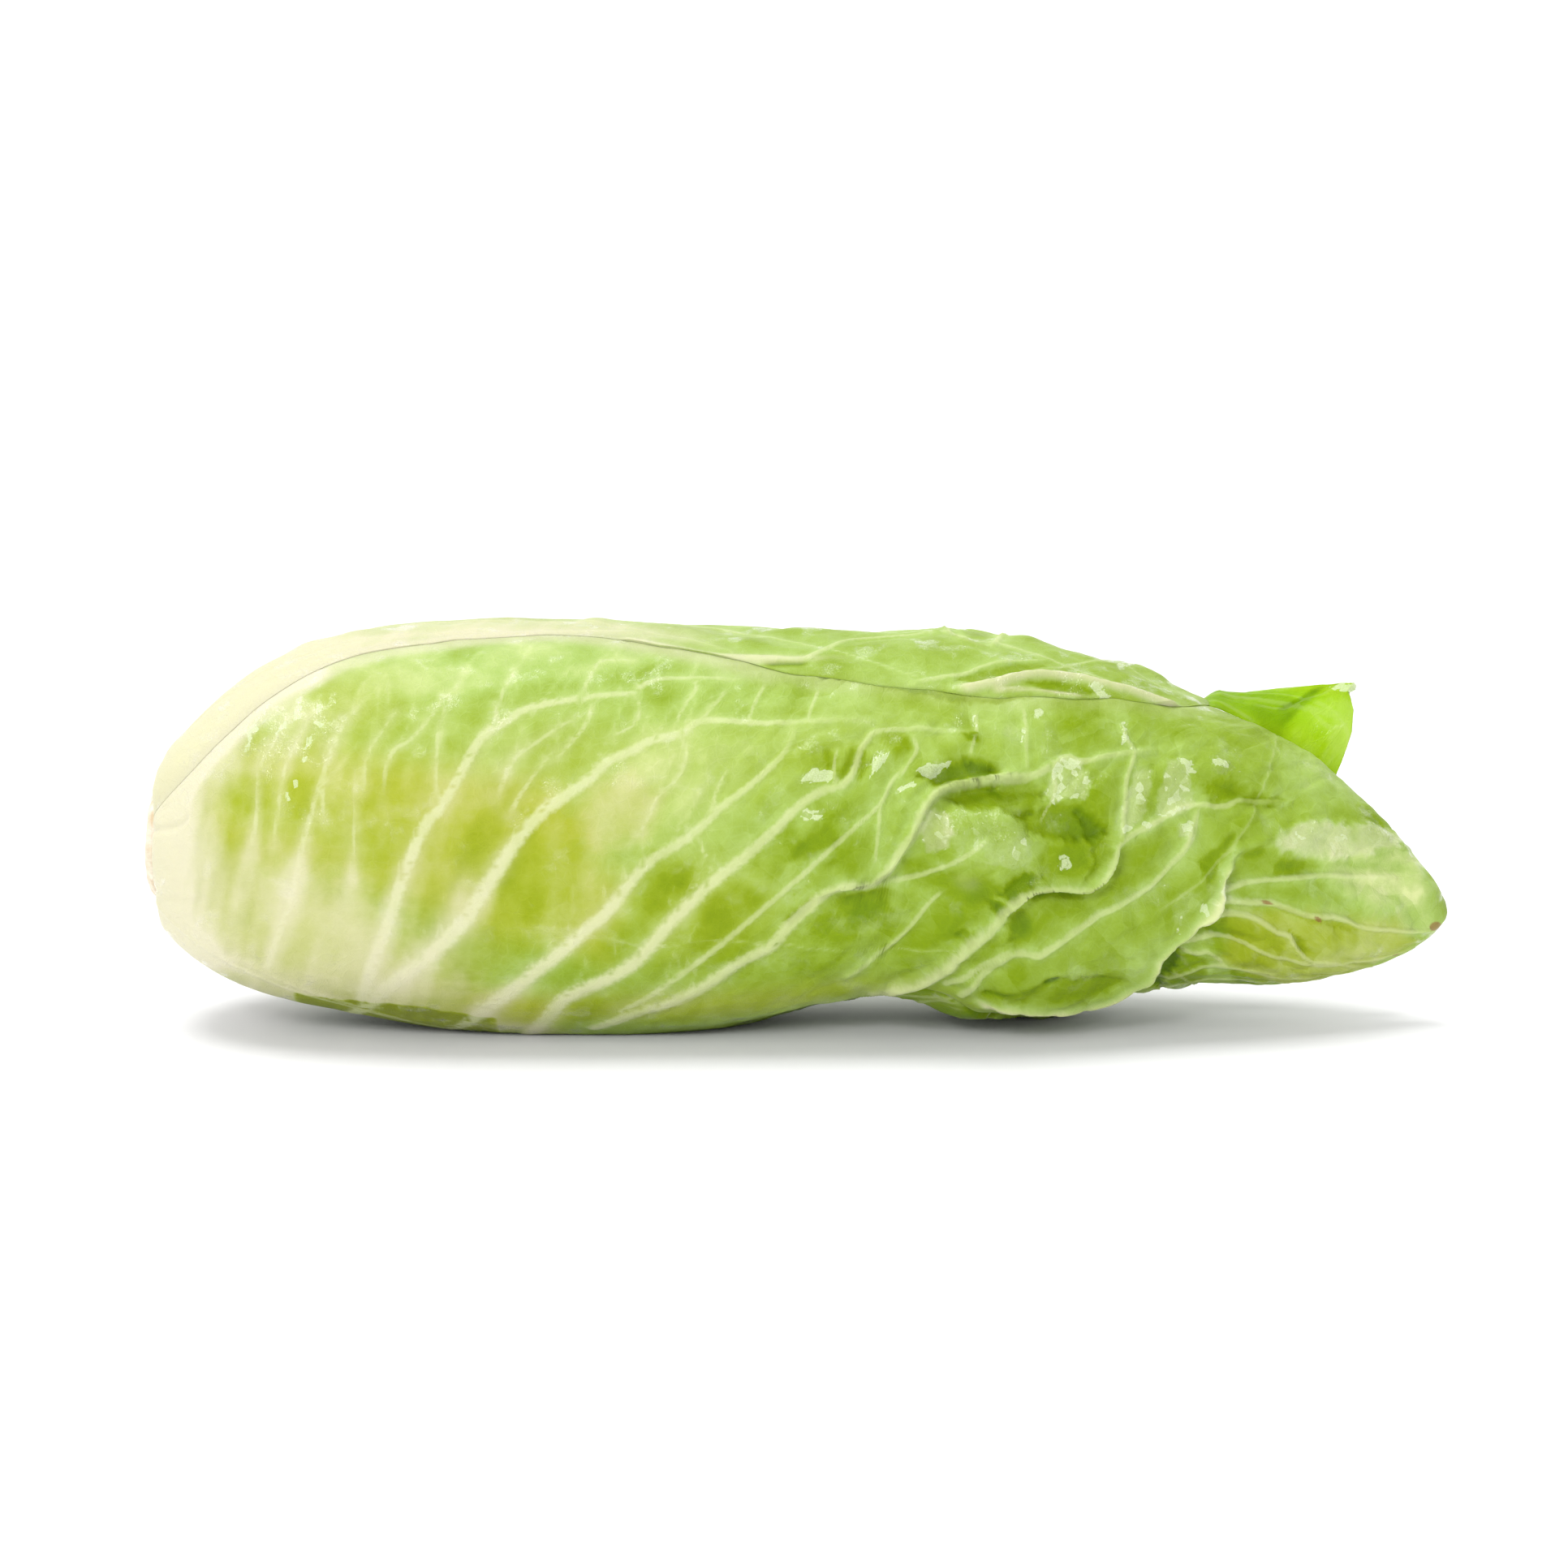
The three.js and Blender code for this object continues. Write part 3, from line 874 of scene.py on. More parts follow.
class Graph:
    """A short way to write a node tree."""

    def __init__(self, tree: bpy.types.NodeTree) -> None:
        """Works on this tree."""
        self.tree = tree

    def add(self, kind: str, wires: dict | None = None, **settings: object) -> bpy.types.Node:
        """Adds a node.

        Args:
            kind: The node's type.
            wires: What goes into its inputs, by name or number: a value or another node's output.
            settings: Its own settings.

        Returns:
            The node.
        """
        node = self.tree.nodes.new(kind)
        for key, value in settings.items():
            setattr(node, key, value)
        for key, value in (wires or {}).items():
            if isinstance(value, Socket):
                self.tree.links.new(value, node.inputs[key])
            else:
                node.inputs[key].default_value = value
        return node

    def math(self, operation: str, *values: object, clamp: bool = False) -> Socket:
        """A sum on sockets or numbers."""
        wires = dict(enumerate(values))
        return self.add("ShaderNodeMath", wires, operation=operation, use_clamp=clamp).outputs[0]

    def times(self, a: object, b: object) -> Socket:
        """a times b."""
        return self.math("MULTIPLY", a, b)

    def scaled(self, value: object, by: object, plus: object, clamp: bool = False) -> Socket:
        """A value times by, plus something."""
        return self.math("MULTIPLY_ADD", value, by, plus, clamp=clamp)

    def ease(self, value: object, low: float, high: float) -> Socket:
        """Eases a value from 0 at low to 1 at high."""
        wires = {"Value": value, "From Min": low, "From Max": high}
        return self.add("ShaderNodeMapRange", wires, interpolation_type="SMOOTHSTEP").outputs[0]

    def read(self, name: str) -> Socket:
        """A number stored on the mesh."""
        return self.add("ShaderNodeAttribute", attribute_name=name).outputs["Fac"]

    def noise(self, vector: object, scale: float, detail: float = 3.0) -> Socket:
        """Soft noise about 0.5."""
        wires = {"Vector": vector, "Scale": scale, "Detail": detail, "Roughness": 0.55}
        return self.add("ShaderNodeTexNoise", wires).outputs[0]

    def blend(self, share: object, a: object, b: object) -> Socket:
        """A colour between a and b."""
        return self.add("ShaderNodeMix", {0: share, 6: a, 7: b}, data_type="RGBA").outputs[2]

    def ramp(self, value: object, stops: Stops) -> Socket:
        """Reads a colour off a ramp.

        Args:
            value: The place on the ramp.
            stops: The ramp's places and colours.

        Returns:
            The colour.
        """
        node = self.add("ShaderNodeValToRGB", {"Fac": value})
        elements = node.color_ramp.elements
        while len(elements) < len(stops):
            elements.new(0.5)
        for element, (place, code) in zip(elements, stops):
            element.position = place
            element.color = linear(code)
        return node.outputs["Color"]

    def bump(self, height: object, strength: float, distance: float) -> Socket:
        """A normal that follows a height."""
        wires = {"Height": height, "Strength": strength, "Distance": distance}
        return self.add("ShaderNodeBump", wires).outputs[0]

    def cells(self, vector: object, scale: float) -> tuple[Socket, bpy.types.NodeOutputs]:
        """Random cells: how far each place is from the middle of its cell, and each cell's numbers."""
        node = self.add("ShaderNodeTexVoronoi", {"Vector": vector, "Scale": scale})
        return node.outputs[0], self.add("ShaderNodeSeparateColor", {0: node.outputs["Color"]}).outputs

    def cell_lines(self, vector: object, scale: float, width: float) -> Socket:
        """Thin lines between random cells."""
        node = self.add("ShaderNodeTexVoronoi", {0: vector, "Scale": scale}, feature="DISTANCE_TO_EDGE")
        return self.ease(node.outputs["Distance"], width, 0.01)

    def surface(self, wires: dict) -> None:
        """Ends a material in its shader, with these inputs."""
        shader = self.add("ShaderNodeBsdfPrincipled", wires)
        self.add("ShaderNodeOutputMaterial", {"Surface": shader.outputs[0]})


def new_material(name: str) -> tuple[bpy.types.Material, Graph]:
    """Makes an empty material, and the graph to write it with.

    Args:
        name: The material's name.

    Returns:
        The material and its graph.
    """
    made = bpy.data.materials.new(name)
    made.use_nodes = True
    made.node_tree.nodes.clear()
    return made, Graph(made.node_tree)


class Effect:
    """A shader group shared by the finishes. Its sockets are made once."""

    def __init__(self, name: str, takes: dict[str, float | None], gives: Sequence[str]) -> None:
        """Opens the group.

        Args:
            name: The group's name.
            takes: Its inputs, each with its usual value, or None for a place.
            gives: Its outputs, which are all masks or values.
        """
        self.tree = bpy.data.node_groups.new(name, "ShaderNodeTree")
        for key, value in takes.items():
            vector = value is None
            kind = "NodeSocketVector" if vector else "NodeSocketFloat"
            socket = self.tree.interface.new_socket(key, in_out="INPUT", socket_type=kind)
            if not vector:
                socket.default_value = value
        for key in gives:
            self.tree.interface.new_socket(key, in_out="OUTPUT", socket_type="NodeSocketFloat")
        self.graph = Graph(self.tree)
        self.inputs = self.graph.add("NodeGroupInput").outputs
        self.outputs = self.graph.add("NodeGroupOutput").inputs

    def give(self, name: str, value: Socket) -> None:
        """Wires an output."""
        self.tree.links.new(value, self.outputs[name])

    def used_in(self, graph: Graph, wires: dict) -> bpy.types.NodeOutputs:
        """Adds the group to a material and returns its outputs."""
        return graph.add("ShaderNodeGroup", wires, node_tree=self.tree).outputs


def vein_effect() -> Effect:
    """The lines of the main and branch veins, read from the distances stored on a leaf.

    Returns:
        The effect.
    """
    made = Effect("vein_lines", {"Place": None, "Near": 40.0}, ("Line", "Halo"))
    g = made.graph
    place, near = made.inputs["Place"], made.inputs["Near"]
    ragged = g.scaled(g.noise(place, 7.0, 3.0), 1.1, near)
    line = g.ease(g.math("SUBTRACT", ragged, 0.55), 1.3, 0.35)
    broken = g.scaled(g.noise(place, 1.3, 4.0), 1.0, 0.4, clamp=True)
    made.give("Line", g.times(line, broken))
    made.give("Halo", g.ease(near, 3.6, 0.4))
    return made


def flesh_effect() -> Effect:
    """Soft mottling and the finest net of veins, on a leaf's own map in centimetres.

    Returns:
        The effect.
    """
    gives = ("Mottle", "Net", "Grain", "Plane", "Crease", "Shard")
    made = Effect("leaf_flesh", {"Place": None, "Streak": 2.2}, gives)
    g = made.graph
    place = made.inputs["Place"]
    wide, small = g.noise(place, 0.35, 2.0), g.noise(place, made.inputs["Streak"], 4.0)
    mottle = g.math("ADD", g.times(wide, 1.2), g.times(small, 0.8))
    made.give("Mottle", g.math("SUBTRACT", mottle, 1.0))
    warp = g.add("ShaderNodeTexNoise", {"Vector": place, "Scale": 2.5, "Detail": 2.0}).outputs["Color"]
    shift = g.add("ShaderNodeVectorMath", {0: warp, 1: (0.16,) * 3}, operation="MULTIPLY").outputs[0]
    bent = g.add("ShaderNodeVectorMath", {0: shift, 1: place}, operation="ADD").outputs[0]
    crease, planes = g.cells(bent, 1.1)
    _, bits = g.cells(bent, 2.6)
    _, shards = g.cells(bent, 6.0)
    # painted shade: a lighter or darker value for each crumple plane
    made.give("Plane", g.scaled(bits[1], 0.5, g.math("SUBTRACT", planes[0], 0.75)))
    made.give("Crease", crease)
    made.give("Shard", shards[0])
    fine = g.times(g.cell_lines(bent, 8.0, 0.12), 0.45)
    made.give("Net", g.math("MAXIMUM", g.cell_lines(bent, 3.1, 0.09), fine))
    made.give("Grain", g.noise(place, 30.0, 3.0))
    return made


def wet_effect() -> Effect:
    """A broken film of water and small beads standing on it.

    Returns:
        The effect.
    """
    made = Effect("water_film", {"Place": None, "Wet": 0.0}, ("Film", "Beads"))
    g = made.graph
    place = made.inputs["Place"]
    wet = g.times(made.inputs["Wet"], 0.35)
    amount = g.math("ADD", g.noise(place, 1.1, 4.0), wet)
    made.give("Film", g.ease(amount, 0.56, 0.66))
    middle, numbers = g.cells(place, 3.4)
    beads = g.times(g.ease(middle, 0.16, 0.02), g.ease(numbers[0], 0.72, 0.8))
    made.give("Beads", g.times(beads, g.ease(amount, 0.62, 0.72)))
    return made


@dataclass(frozen=True)
class LeafFinish:
    """The finish of a leaf: its greens from dark to pale and how strongly it is marked."""

    name: str
    ramp: Stops
    level: float = 0.5  # where on the ramp a plain place is
    # the pale cream of the leaf's base and veins, also used for painted sheen on wet places and painted light
    # at seams
    cream_and_painted_light: int = 0xDCD8B8
    vein: int = 0xD8DEAA
    vein_strength: float = 0.8
    mottle: float = 0.35
    net: float = 0.03
    # the colour of the painted highlights
    glare: int = 0xD9E6B8
    brown: int = 0x8A5A32
    roughness: float = 0.4
    coat: float = 0.9
    shine: float = 0.14
    bounce: int = 0xA8A8B0  # the grey that tempers what the leaf throws on its surroundings
    subsurface: float = 0.12

    def material(self, effects: dict[str, Effect]) -> bpy.types.Material:
        """Builds the material.

        Args:
            effects: The shared shader groups by name.

        Returns:
            The material.
        """
        made, g = new_material(self.name)
        place = g.add("ShaderNodeUVMap", uv_map="leaf").outputs[0]
        veins = effects["veins"].used_in(g, {"Place": place, "Near": g.read("vein_near")})
        flesh = effects["flesh"].used_in(g, {"Place": place})
        film = effects["wet"].used_in(g, {"Place": place, "Wet": g.read("wet")})
        line = g.times(veins["Line"], g.read("vein_show"))
        # Where the surface glints: a painted highlight in the colour, and a glossy coat.
        broken = g.math("ADD", flesh["Shard"], g.math("SUBTRACT", g.read("glare"), 1.0))
        grain = g.scaled(flesh["Grain"], 0.8, 0.15)
        glare = g.times(g.ease(broken, 0.0, 0.12), grain)
        rough = g.scaled(flesh["Grain"], 0.22, self.roughness - 0.11)
        ripple = g.scaled(film["Beads"], 0.8, g.noise(place, 5.0, 3.0))
        g.surface(
            {
                "Base Color": self.color(g, flesh, veins["Halo"], line, glare),
                "Roughness": g.scaled(film["Film"], -0.12, rough),
                "Normal": self.normal(g, flesh, film["Beads"], line),
                "Coat Weight": g.times(g.math("MAXIMUM", film["Film"], glare), self.coat),
                "Coat Roughness": 0.05,
                "Coat Normal": g.bump(ripple, 1.0, 0.0012),
                "Specular IOR Level": self.shine,
                "Subsurface Weight": self.subsurface,
                "Subsurface Radius": (1.0, 1.2, 0.4),
                "Subsurface Scale": 0.003,
            }
        )
        return made

    def color(
        self,
        g: Graph,
        flesh: bpy.types.NodeOutputs,
        halo: Socket,
        line: Socket,
        glare: Socket,
    ) -> Socket:
        """Mixes the leaf's colour.

        Args:
            g: The material's graph.
            flesh: What the flesh effect gives.
            halo: How near a vein is.
            line: The veins' lines.
            glare: Where the pale painted highlight is mixed into the colour.

        Returns:
            The colour.
        """
        light = g.scaled(flesh["Mottle"], self.mottle, self.level)
        light = g.scaled(g.read("tone"), 0.5, light)
        light = g.scaled(flesh["Net"], self.net, light)
        light = g.scaled(halo, 0.06, light)
        # Painted shade: each crumple plane made a little lighter or darker.
        plane = g.times(flesh["Plane"], g.read("crinkle"))
        light = g.scaled(plane, 0.06, light)
        color = g.blend(g.read("warm"), g.ramp(light, self.ramp), g.ramp(light, WARM_GREENS))
        # The pale cream, with the painted sheen and painted light that share its mask.
        pale = g.scaled(flesh["Mottle"], 0.25, g.read("cream_and_painted_light"), clamp=True)
        pale = g.times(pale, g.ease(g.read("cream_and_painted_light"), 0.0, 0.5))
        brown = g.times(g.ease(g.read("brown"), 0.25, 0.6), 0.75)
        bounced = g.times(g.add("ShaderNodeLightPath").outputs["Is Diffuse Ray"], 0.65)
        # Laid over the greens: vein lines, the pale cream with its painted sheen and painted light, the
        # painted highlights, brown specks, and the grey that tempers bounced light.
        for share, code in (
            (g.times(line, self.vein_strength), self.vein),
            (pale, self.cream_and_painted_light),
            (glare, self.glare),
            (brown, self.brown),
            (bounced, self.bounce),
        ):
            color = g.blend(share, color, linear(code))
        return color

    def normal(self, g: Graph, flesh: bpy.types.NodeOutputs, beads: Socket, line: Socket) -> Socket:
        """Builds the finest relief.

        Args:
            g: The material's graph.
            flesh: What the flesh effect gives.
            beads: Where beads of water stand.
            line: The veins' lines.

        Returns:
            The normal.
        """
        height = g.times(flesh["Net"], 0.08)
        crease = g.times(flesh["Crease"], g.read("crinkle"))
        for value, rise in ((flesh["Grain"], 0.2), (beads, 0.5), (line, 0.12), (crease, -1.1)):
            height = g.scaled(value, rise, height)
        return g.bump(height, 0.8, 0.0006)


GREENS: Stops = (
    (0.0, 0x557300), (0.2, 0x6C8A00), (0.4, 0x809B08), (0.55, 0x92AD3C), (0.7, 0xA4BF60), (0.85, 0xB9CD7C),
    (1.0, 0xD4DE9B),
)
FRESH_GREENS: Stops = ((0.0, 0x648A00), (0.3, 0x7AA204), (0.5, 0x90BA10), (0.7, 0xA6CC38), (1.0, 0xC0DE72))
WARM_GREENS: Stops = ((0.0, 0x808C00), (0.3, 0x96A408), (0.5, 0xA6B02D), (0.7, 0xB4BA58), (1.0, 0xCDCD91))
HEART_GREENS: Stops = ((0.0, 0x9DBB4A), (0.4, 0xD3E28E), (0.7, 0xECEFBE), (1.0, 0xF8F5DA))


@dataclass(frozen=True)
class StemFinish:
    """The cut face of the stem: pale and a little pink, browned round its rim."""

    name: str = "stem_cut"
    pale: int = 0xF6F0DC
    pink: int = 0xEFDCC6
    brown: int = 0xD8C29C

    def material(self) -> bpy.types.Material:
        """Builds the material.

        Returns:
            The material.
        """
        made, g = new_material(self.name)
        place = g.add("ShaderNodeUVMap", uv_map="face").outputs[0]
        blotch = g.ease(g.noise(place, 1.2, 4.0), 0.35, 0.7)
        color = g.blend(blotch, linear(self.pale), linear(self.pink))
        rim = g.times(g.read("rim"), g.ease(g.noise(place, 2.0, 3.0), 0.3, 0.7))
        grain = g.noise(place, 9.0, 4.0)
        g.surface(
            {
                "Base Color": g.blend(rim, color, linear(self.brown)),
                "Roughness": g.scaled(grain, 0.25, 0.45),
                "Normal": g.bump(grain, 0.7, 0.0009),
            }
        )
        return made


# ---- leaves


@dataclass
class VeinFan:
    """The veins of a leaf that are not drawn one by one: a midrib and curved side veins."""

    pairs: int = 8
    first: float = 0.0
    last: float = 0.72  # where the last pair leaves the midrib, as a share of the leaf's length
    sweep: float = 0.4  # how far along the leaf a side vein runs on its way out
    width: float = 1.1
    height: float = 0.45
    sides: tuple[int, ...] = (-1, 1)
    midrib: bool = True

    def lines(self, net: LeafNet, rng: np.random.Generator) -> list[tuple[Array, float]]:
        """Lays the veins out.

        Args:
            net: The leaf's net.
            rng: The source of chance.

        Returns:
            Each vein's points in chart distances, with its half width.
        """
        made = []
        rows = np.arange(net.rows)
        if self.midrib:
            at = np.linspace(0, 0.97, 40) * (net.rows - 1)
            line = [np.interp(at, rows, net.row_run), np.interp(at, rows, net.middle_round)]
            made.append((np.stack(line, -1), 1.5 * self.width))
        for side in self.sides:
            edge = net.round[:, 0] if side < 0 else net.round[:, -1]
            for start in np.linspace(self.first, self.last, self.pairs):
                start = start + rng.uniform(-0.02, 0.02)
                sweep = self.sweep * rng.uniform(0.85, 1.2)
                u = np.linspace(0, 1, 26)
                along = start + sweep * u
                u, along = u[along < 0.97], along[along < 0.97]
                if len(u) < 4:
                    continue
                at = np.clip(along, 0, 1) * (net.rows - 1)
                out = 0.94 * u ** rng.uniform(0.7, 0.95)
                middle, margin = np.interp(at, rows, net.middle_round), np.interp(at, rows, edge)
                line = [np.interp(at, rows, net.row_run), middle + (margin - middle) * out]
                made.append((np.stack(line, -1), self.width * rng.uniform(0.7, 1.1)))
        return made


@dataclass
class Leaf:
    """One leaf of the head, drawn on its own net and laid under the leaves already there."""

    node: str
    slot: Slot
    finish: LeafFinish
    table: Table = ()  # x, lower, midrib, upper angle
    rows: int = 241
    columns: int = 121
    every: int = 3  # the inner skin's points are this many rows and columns apart
    drawn: tuple[Mark, ...] = ()
    fan: VeinFan | None = field(default_factory=VeinFan)
    branching: Branching | None = field(default_factory=Branching)
    blade: float = 0.95
    rib: float = 1.0  # how far the midrib is thickened, next to a wrapper's
    pillow: tuple[float, float] = (0.5, 0.9)  # puffing between the veins, at the base and the tip
    gain: tuple[float, float] = (1.0, 1.0)  # how far veins stand out, at the base and the tip
    ramp_x: tuple[float, float] = (-60.0, 30.0)  # where those change from the one to the other
    swell: float = 0.7  # broad unevenness
    crumple: tuple[float, float] = (0.2, 0.6)  # creasing, at the base and the tip
    blotch: tuple[float, float] = (0.5, 0.4)  # how far the green deepens between the veins
    milky: float = 0.18  # how far the main veins pale the leaf beside them
    pale_base: tuple[float, float] = (-152.0, -100.0)  # x over which the pale base turns green
    hug_to: float = 170.0  # x up to which the margins lie close to the leaf beneath
    curl: float = 0.8  # how far the other margins turn up
    tip_round: float = 14.0
    gap: float = 0.03
    dip: float = 0.27  # how far the leaf sinks towards the edge of one that lies over it
    bulge: float = 0.0  # how far it may stand out of the form
    # painted light: paling along the edge of an overlying leaf, against the shade in the crack there
    seam_light: float = 0.0  # how far it pales towards the edge of one that lies over it
    denser: float = 0.0  # how much closer together the rows are at the tip
    seed: int = 1

    def stations(self, form: HeadForm) -> Array:
        """The station of each row, evenly spread along the surface.

        Args:
            form: The head's form.

        Returns:
            The stations.
        """
        run = np.linspace(0, form.read(form.run, form.station_at_x(self.table[-1][0])), 2001)
        weight = 1 + self.denser * smoothstep(form.read(form.x, form.station_at_run(run)), *self.ramp_x)
        total = np.cumsum(weight) - weight[0]
        return form.station_at_run(np.interp(np.linspace(0, total[-1], self.rows), total, run))

    def margins(self, form: HeadForm, stations: Array) -> Array:
        """Finds the angles of the margins and the midrib.

        Args:
            form: The head's form.
            stations: The station of each row.

        Returns:
            The lower, midrib and upper angle at each station.
        """
        curve = spline(np.array(self.table), 12)
        x = form.read(form.x, stations)
        return np.stack([np.interp(x, curve[:, 0], curve[:, i]) for i in (1, 2, 3)], -1)

    def least(self, net: LeafNet) -> Array | float:
        """The least depth this leaf lies at: outside the form where it bulges, but not near the floor."""
        height = net.form.surface(net.station, net.angle)[..., 2]
        return -self.bulge * smoothstep(height, 2.0, 14.0)

    def net(self, form: HeadForm) -> LeafNet:
        """Lays out the leaf's net, with an uneven margin and a rounded tip.

        Args:
            form: The head's form.

        Returns:
            The net.
        """
        stations = self.stations(form)
        margins = self.margins(form, stations)
        run = form.read(form.run, stations)
        degrees = np.degrees(1 / np.maximum(form.read(form.radius, stations), 6.0))
        for side, column in ((0, 0), (1, 2)):
            flat = np.full_like(run, side)
            wave = 0.9 * soft_noise(run, flat, 17.0, self.seed + side)
            wave += 0.45 * soft_noise(run, flat, 5.5, self.seed + side + 7)
            margins[:, column] += wave * degrees * smoothstep(run, 20, 50)
        if self.tip_round:
            past = np.clip((run - (run[-1] - self.tip_round)) / self.tip_round, 0, 1)
            narrow = 0.12 + 0.88 * np.sqrt(1 - past**2.4)
            for column in (0, 2):
                margins[:, column] = margins[:, 1] + (margins[:, column] - margins[:, 1]) * narrow
        return LeafNet(form, stations, margins, self.columns)

    def places(self, net: LeafNet, board: Elevation, drawn: Places) -> Array:
        """Finds what places drawn on the board stand for.

        Args:
            net: The leaf's net.
            board: The drawing board.
            drawn: The places.

        Returns:
            One row for each place: its station and its angle on this leaf.
        """
        found = board.places(drawn)
        found[:, 1] += 360 * round((net.angle.mean() - found[:, 1].mean()) / 360)
        return found

    def draw(self, net: LeafNet, board: Elevation) -> None:
        """Writes the leaf's veins, folds and spots into its net.

        Args:
            net: The leaf's net.
            board: The drawing board.
        """
        rng = np.random.default_rng(self.seed)
        mains = []
        for item in self.drawn:
            drawn = (item.centre,) if isinstance(item, Spot) else pairs(item.route)
            chart = net.chart(self.places(net, board, drawn))
            if isinstance(item, Spot):
                net.add_spot(chart[0], item)
            elif isinstance(item, Facet):
                net.add_facet(chart, item)
            else:
                line = spline(chart, 6)
                if isinstance(item, Fold):
                    net.add_fold(line, item)
                    continue
                net.add_vein(line, item)
                if item.width > MAIN_VEIN:
                    mains.append(line)
        if self.fan:
            for line, width in self.fan.lines(net, rng):
                net.add_vein(line, Vein("", width, 0.4 * width, self.fan.height))
                mains.append(line)
        if self.branching:
            thin = Vein("", self.branching.width, 0.25, self.branching.height, self.branching.show)
            for line in self.branching.grow(net, mains, rng):
                net.add_vein(line, thin)

    def between(self, ends: tuple[float, float], far: Array) -> Array:
        """A value that changes from the base to the tip."""
        return ends[0] + (ends[1] - ends[0]) * far

    def shape(self, net: LeafNet) -> None:
        """Works out the relief: raised veins, puffing, creases and margins that lie close.

        Args:
            net: The leaf's net.
        """
        x = self.form_x(net)
        far = smoothstep(x, *self.ramp_x)
        puff = self.between(self.pillow, far)
        rough = puff * (1 - np.exp(-((net.gap / 5.0) ** 2)) - 0.5)
        near = np.minimum(net.vein_near, 6.0)
        net.relief += self.between(self.gain, far) * net.vein_height * np.exp(-(near**2))
        hug = 1 - smoothstep(x, self.hug_to, self.hug_to + 15.0)
        for size, height in ((34.0, 1.0), (13.0, 0.35), (5.0, 0.1)):
            rough += self.swell * height * soft_noise(net.run, net.round, size, self.seed + int(size))
        net.relief += self.curl * (1 - hug) * np.exp(-net.margin / 5.0)
        crease = 0.6 * np.abs(soft_noise(net.run + 0.5 * net.round, net.round, 9.0, self.seed + 60))
        crease += 0.4 * np.abs(soft_noise(net.run - net.round, net.round, 4.5, self.seed + 61))
        net.crinkle = self.between(self.crumple, far)
        rough += net.crinkle * (crease - 0.3)
        net.relief += rough * (1 - hug * (1 - smoothstep(net.margin, 0.0, 9.0)))
        net.relief -= 0.3 * hug * np.exp(-((net.margin / 3.0) ** 2))

    def tint(self, net: LeafNet) -> None:
        """Works out the tones: deeper between the veins, milky beside them, pale at the base, and the drawn
        patches' tones, among them painted shade.

        Args:
            net: The leaf's net.
        """
        x = self.form_x(net)
        far = smoothstep(x, *self.ramp_x)
        away = 1 - np.exp(-((net.gap / 4.5) ** 2))
        blotch = 0.65 * soft_noise(net.run, net.round, 15.0, self.seed + 40)
        blotch += 0.35 * soft_noise(net.run, net.round, 6.0, self.seed + 41)
        net.tone += self.between(self.blotch, far) * (away * (blotch - 0.25) + 0.12)
        net.tone += net.patch * (0.25 + 0.75 * away) * (1 + 0.5 * blotch)
        net.tone += 0.18 * net.streaks * np.clip(net.warm, 0, 1)
        net.vein_show = net.vein_show ** (1 - 0.5 * far) * (1 - 0.38 * far)
        net.cream_and_painted_light += self.milky * (1 - far) * np.exp(-((net.gap / 2.6) ** 2))
        net.cream_and_painted_light += 1 - smoothstep(x, *self.pale_base)
        net.cream_and_painted_light *= 1 + 0.15 * net.streaks

    @staticmethod
    def form_x(net: LeafNet) -> Array:
        """The x of each point of the net on the head's form."""
        return net.form.read(net.form.x, net.station)

    def thickness(self, net: LeafNet) -> Array:
        """How thick the leaf is: a blade with a thickened midrib, thinner at the margin.

        Args:
            net: The leaf's net.

        Returns:
            The thickness.
        """
        extra = np.interp(net.along, (0, 0.3, 0.6, 1), (4.6, 3.2, 1.6, 0.2))
        across = np.interp(net.along, (0, 0.3, 0.6, 1), (11.0, 8.0, 5.0, 2.0))
        rib = self.rib * extra * np.exp(-((net.off_midrib / across) ** 2))
        edge = smoothstep(net.margin, 0.0, 9.0)
        return self.blade * (0.06 + 0.94 * edge) + rib * edge

    def skins(self, net: LeafNet, depth: Array, inner: Array) -> tuple[Array, Array]:
        """Places the two skins.

        Args:
            net: The leaf's net.
            depth: How deep the outer skin lies.
            inner: How deep the inner skin lies.

        Returns:
            The points of the outer and the inner skin.
        """
        k = self.every
        outer_points = net.form.under(net.station, net.angle, depth)
        inner_points = net.form.under(net.station[::k, ::k], net.angle[::k, ::k], inner[::k, ::k])
        return outer_points, inner_points

    def lay(
        self, form: HeadForm, board: Elevation, depths: DepthMap, effects: dict[str, Effect]
    ) -> bpy.types.Object:
        """Builds the leaf and dresses it.

        Args:
            form: The head's form.
            board: What the leaf's features are drawn on.
            depths: How deep the leaves laid so far are. This leaf is added.
            effects: The shared shader groups.

        Returns:
            The finished piece.
        """
        net = self.net(form)
        self.draw(net, board)
        self.shape(net)
        self.tint(net)
        depth = self.sunk(net, depths)
        inner = self.deepest_near(depth) + self.thickness(net)
        depths.cover(net, np.maximum(inner, 0.05))
        made = mesh_object(f"{self.node}_look", *closed_shell(*self.skins(net, depth, inner)))
        self.store(made, net)
        made.data.materials.append(self.finish.material(effects))
        return dressed(made, self.node)

    def sunk(self, net: LeafNet, depths: DepthMap) -> Array:
        """Sinks the leaf under the ones laid before it, and paints it paler beside their edges as painted
        light against the shade in the crack.

        Args:
            net: The leaf's net.
            depths: How deep the leaves laid so far are.

        Returns:
            How deep the outer skin lies.
        """
        roof, shelter = depths.roof(net), depths.shelter(net)
        far = smoothstep(self.form_x(net), *self.ramp_x)
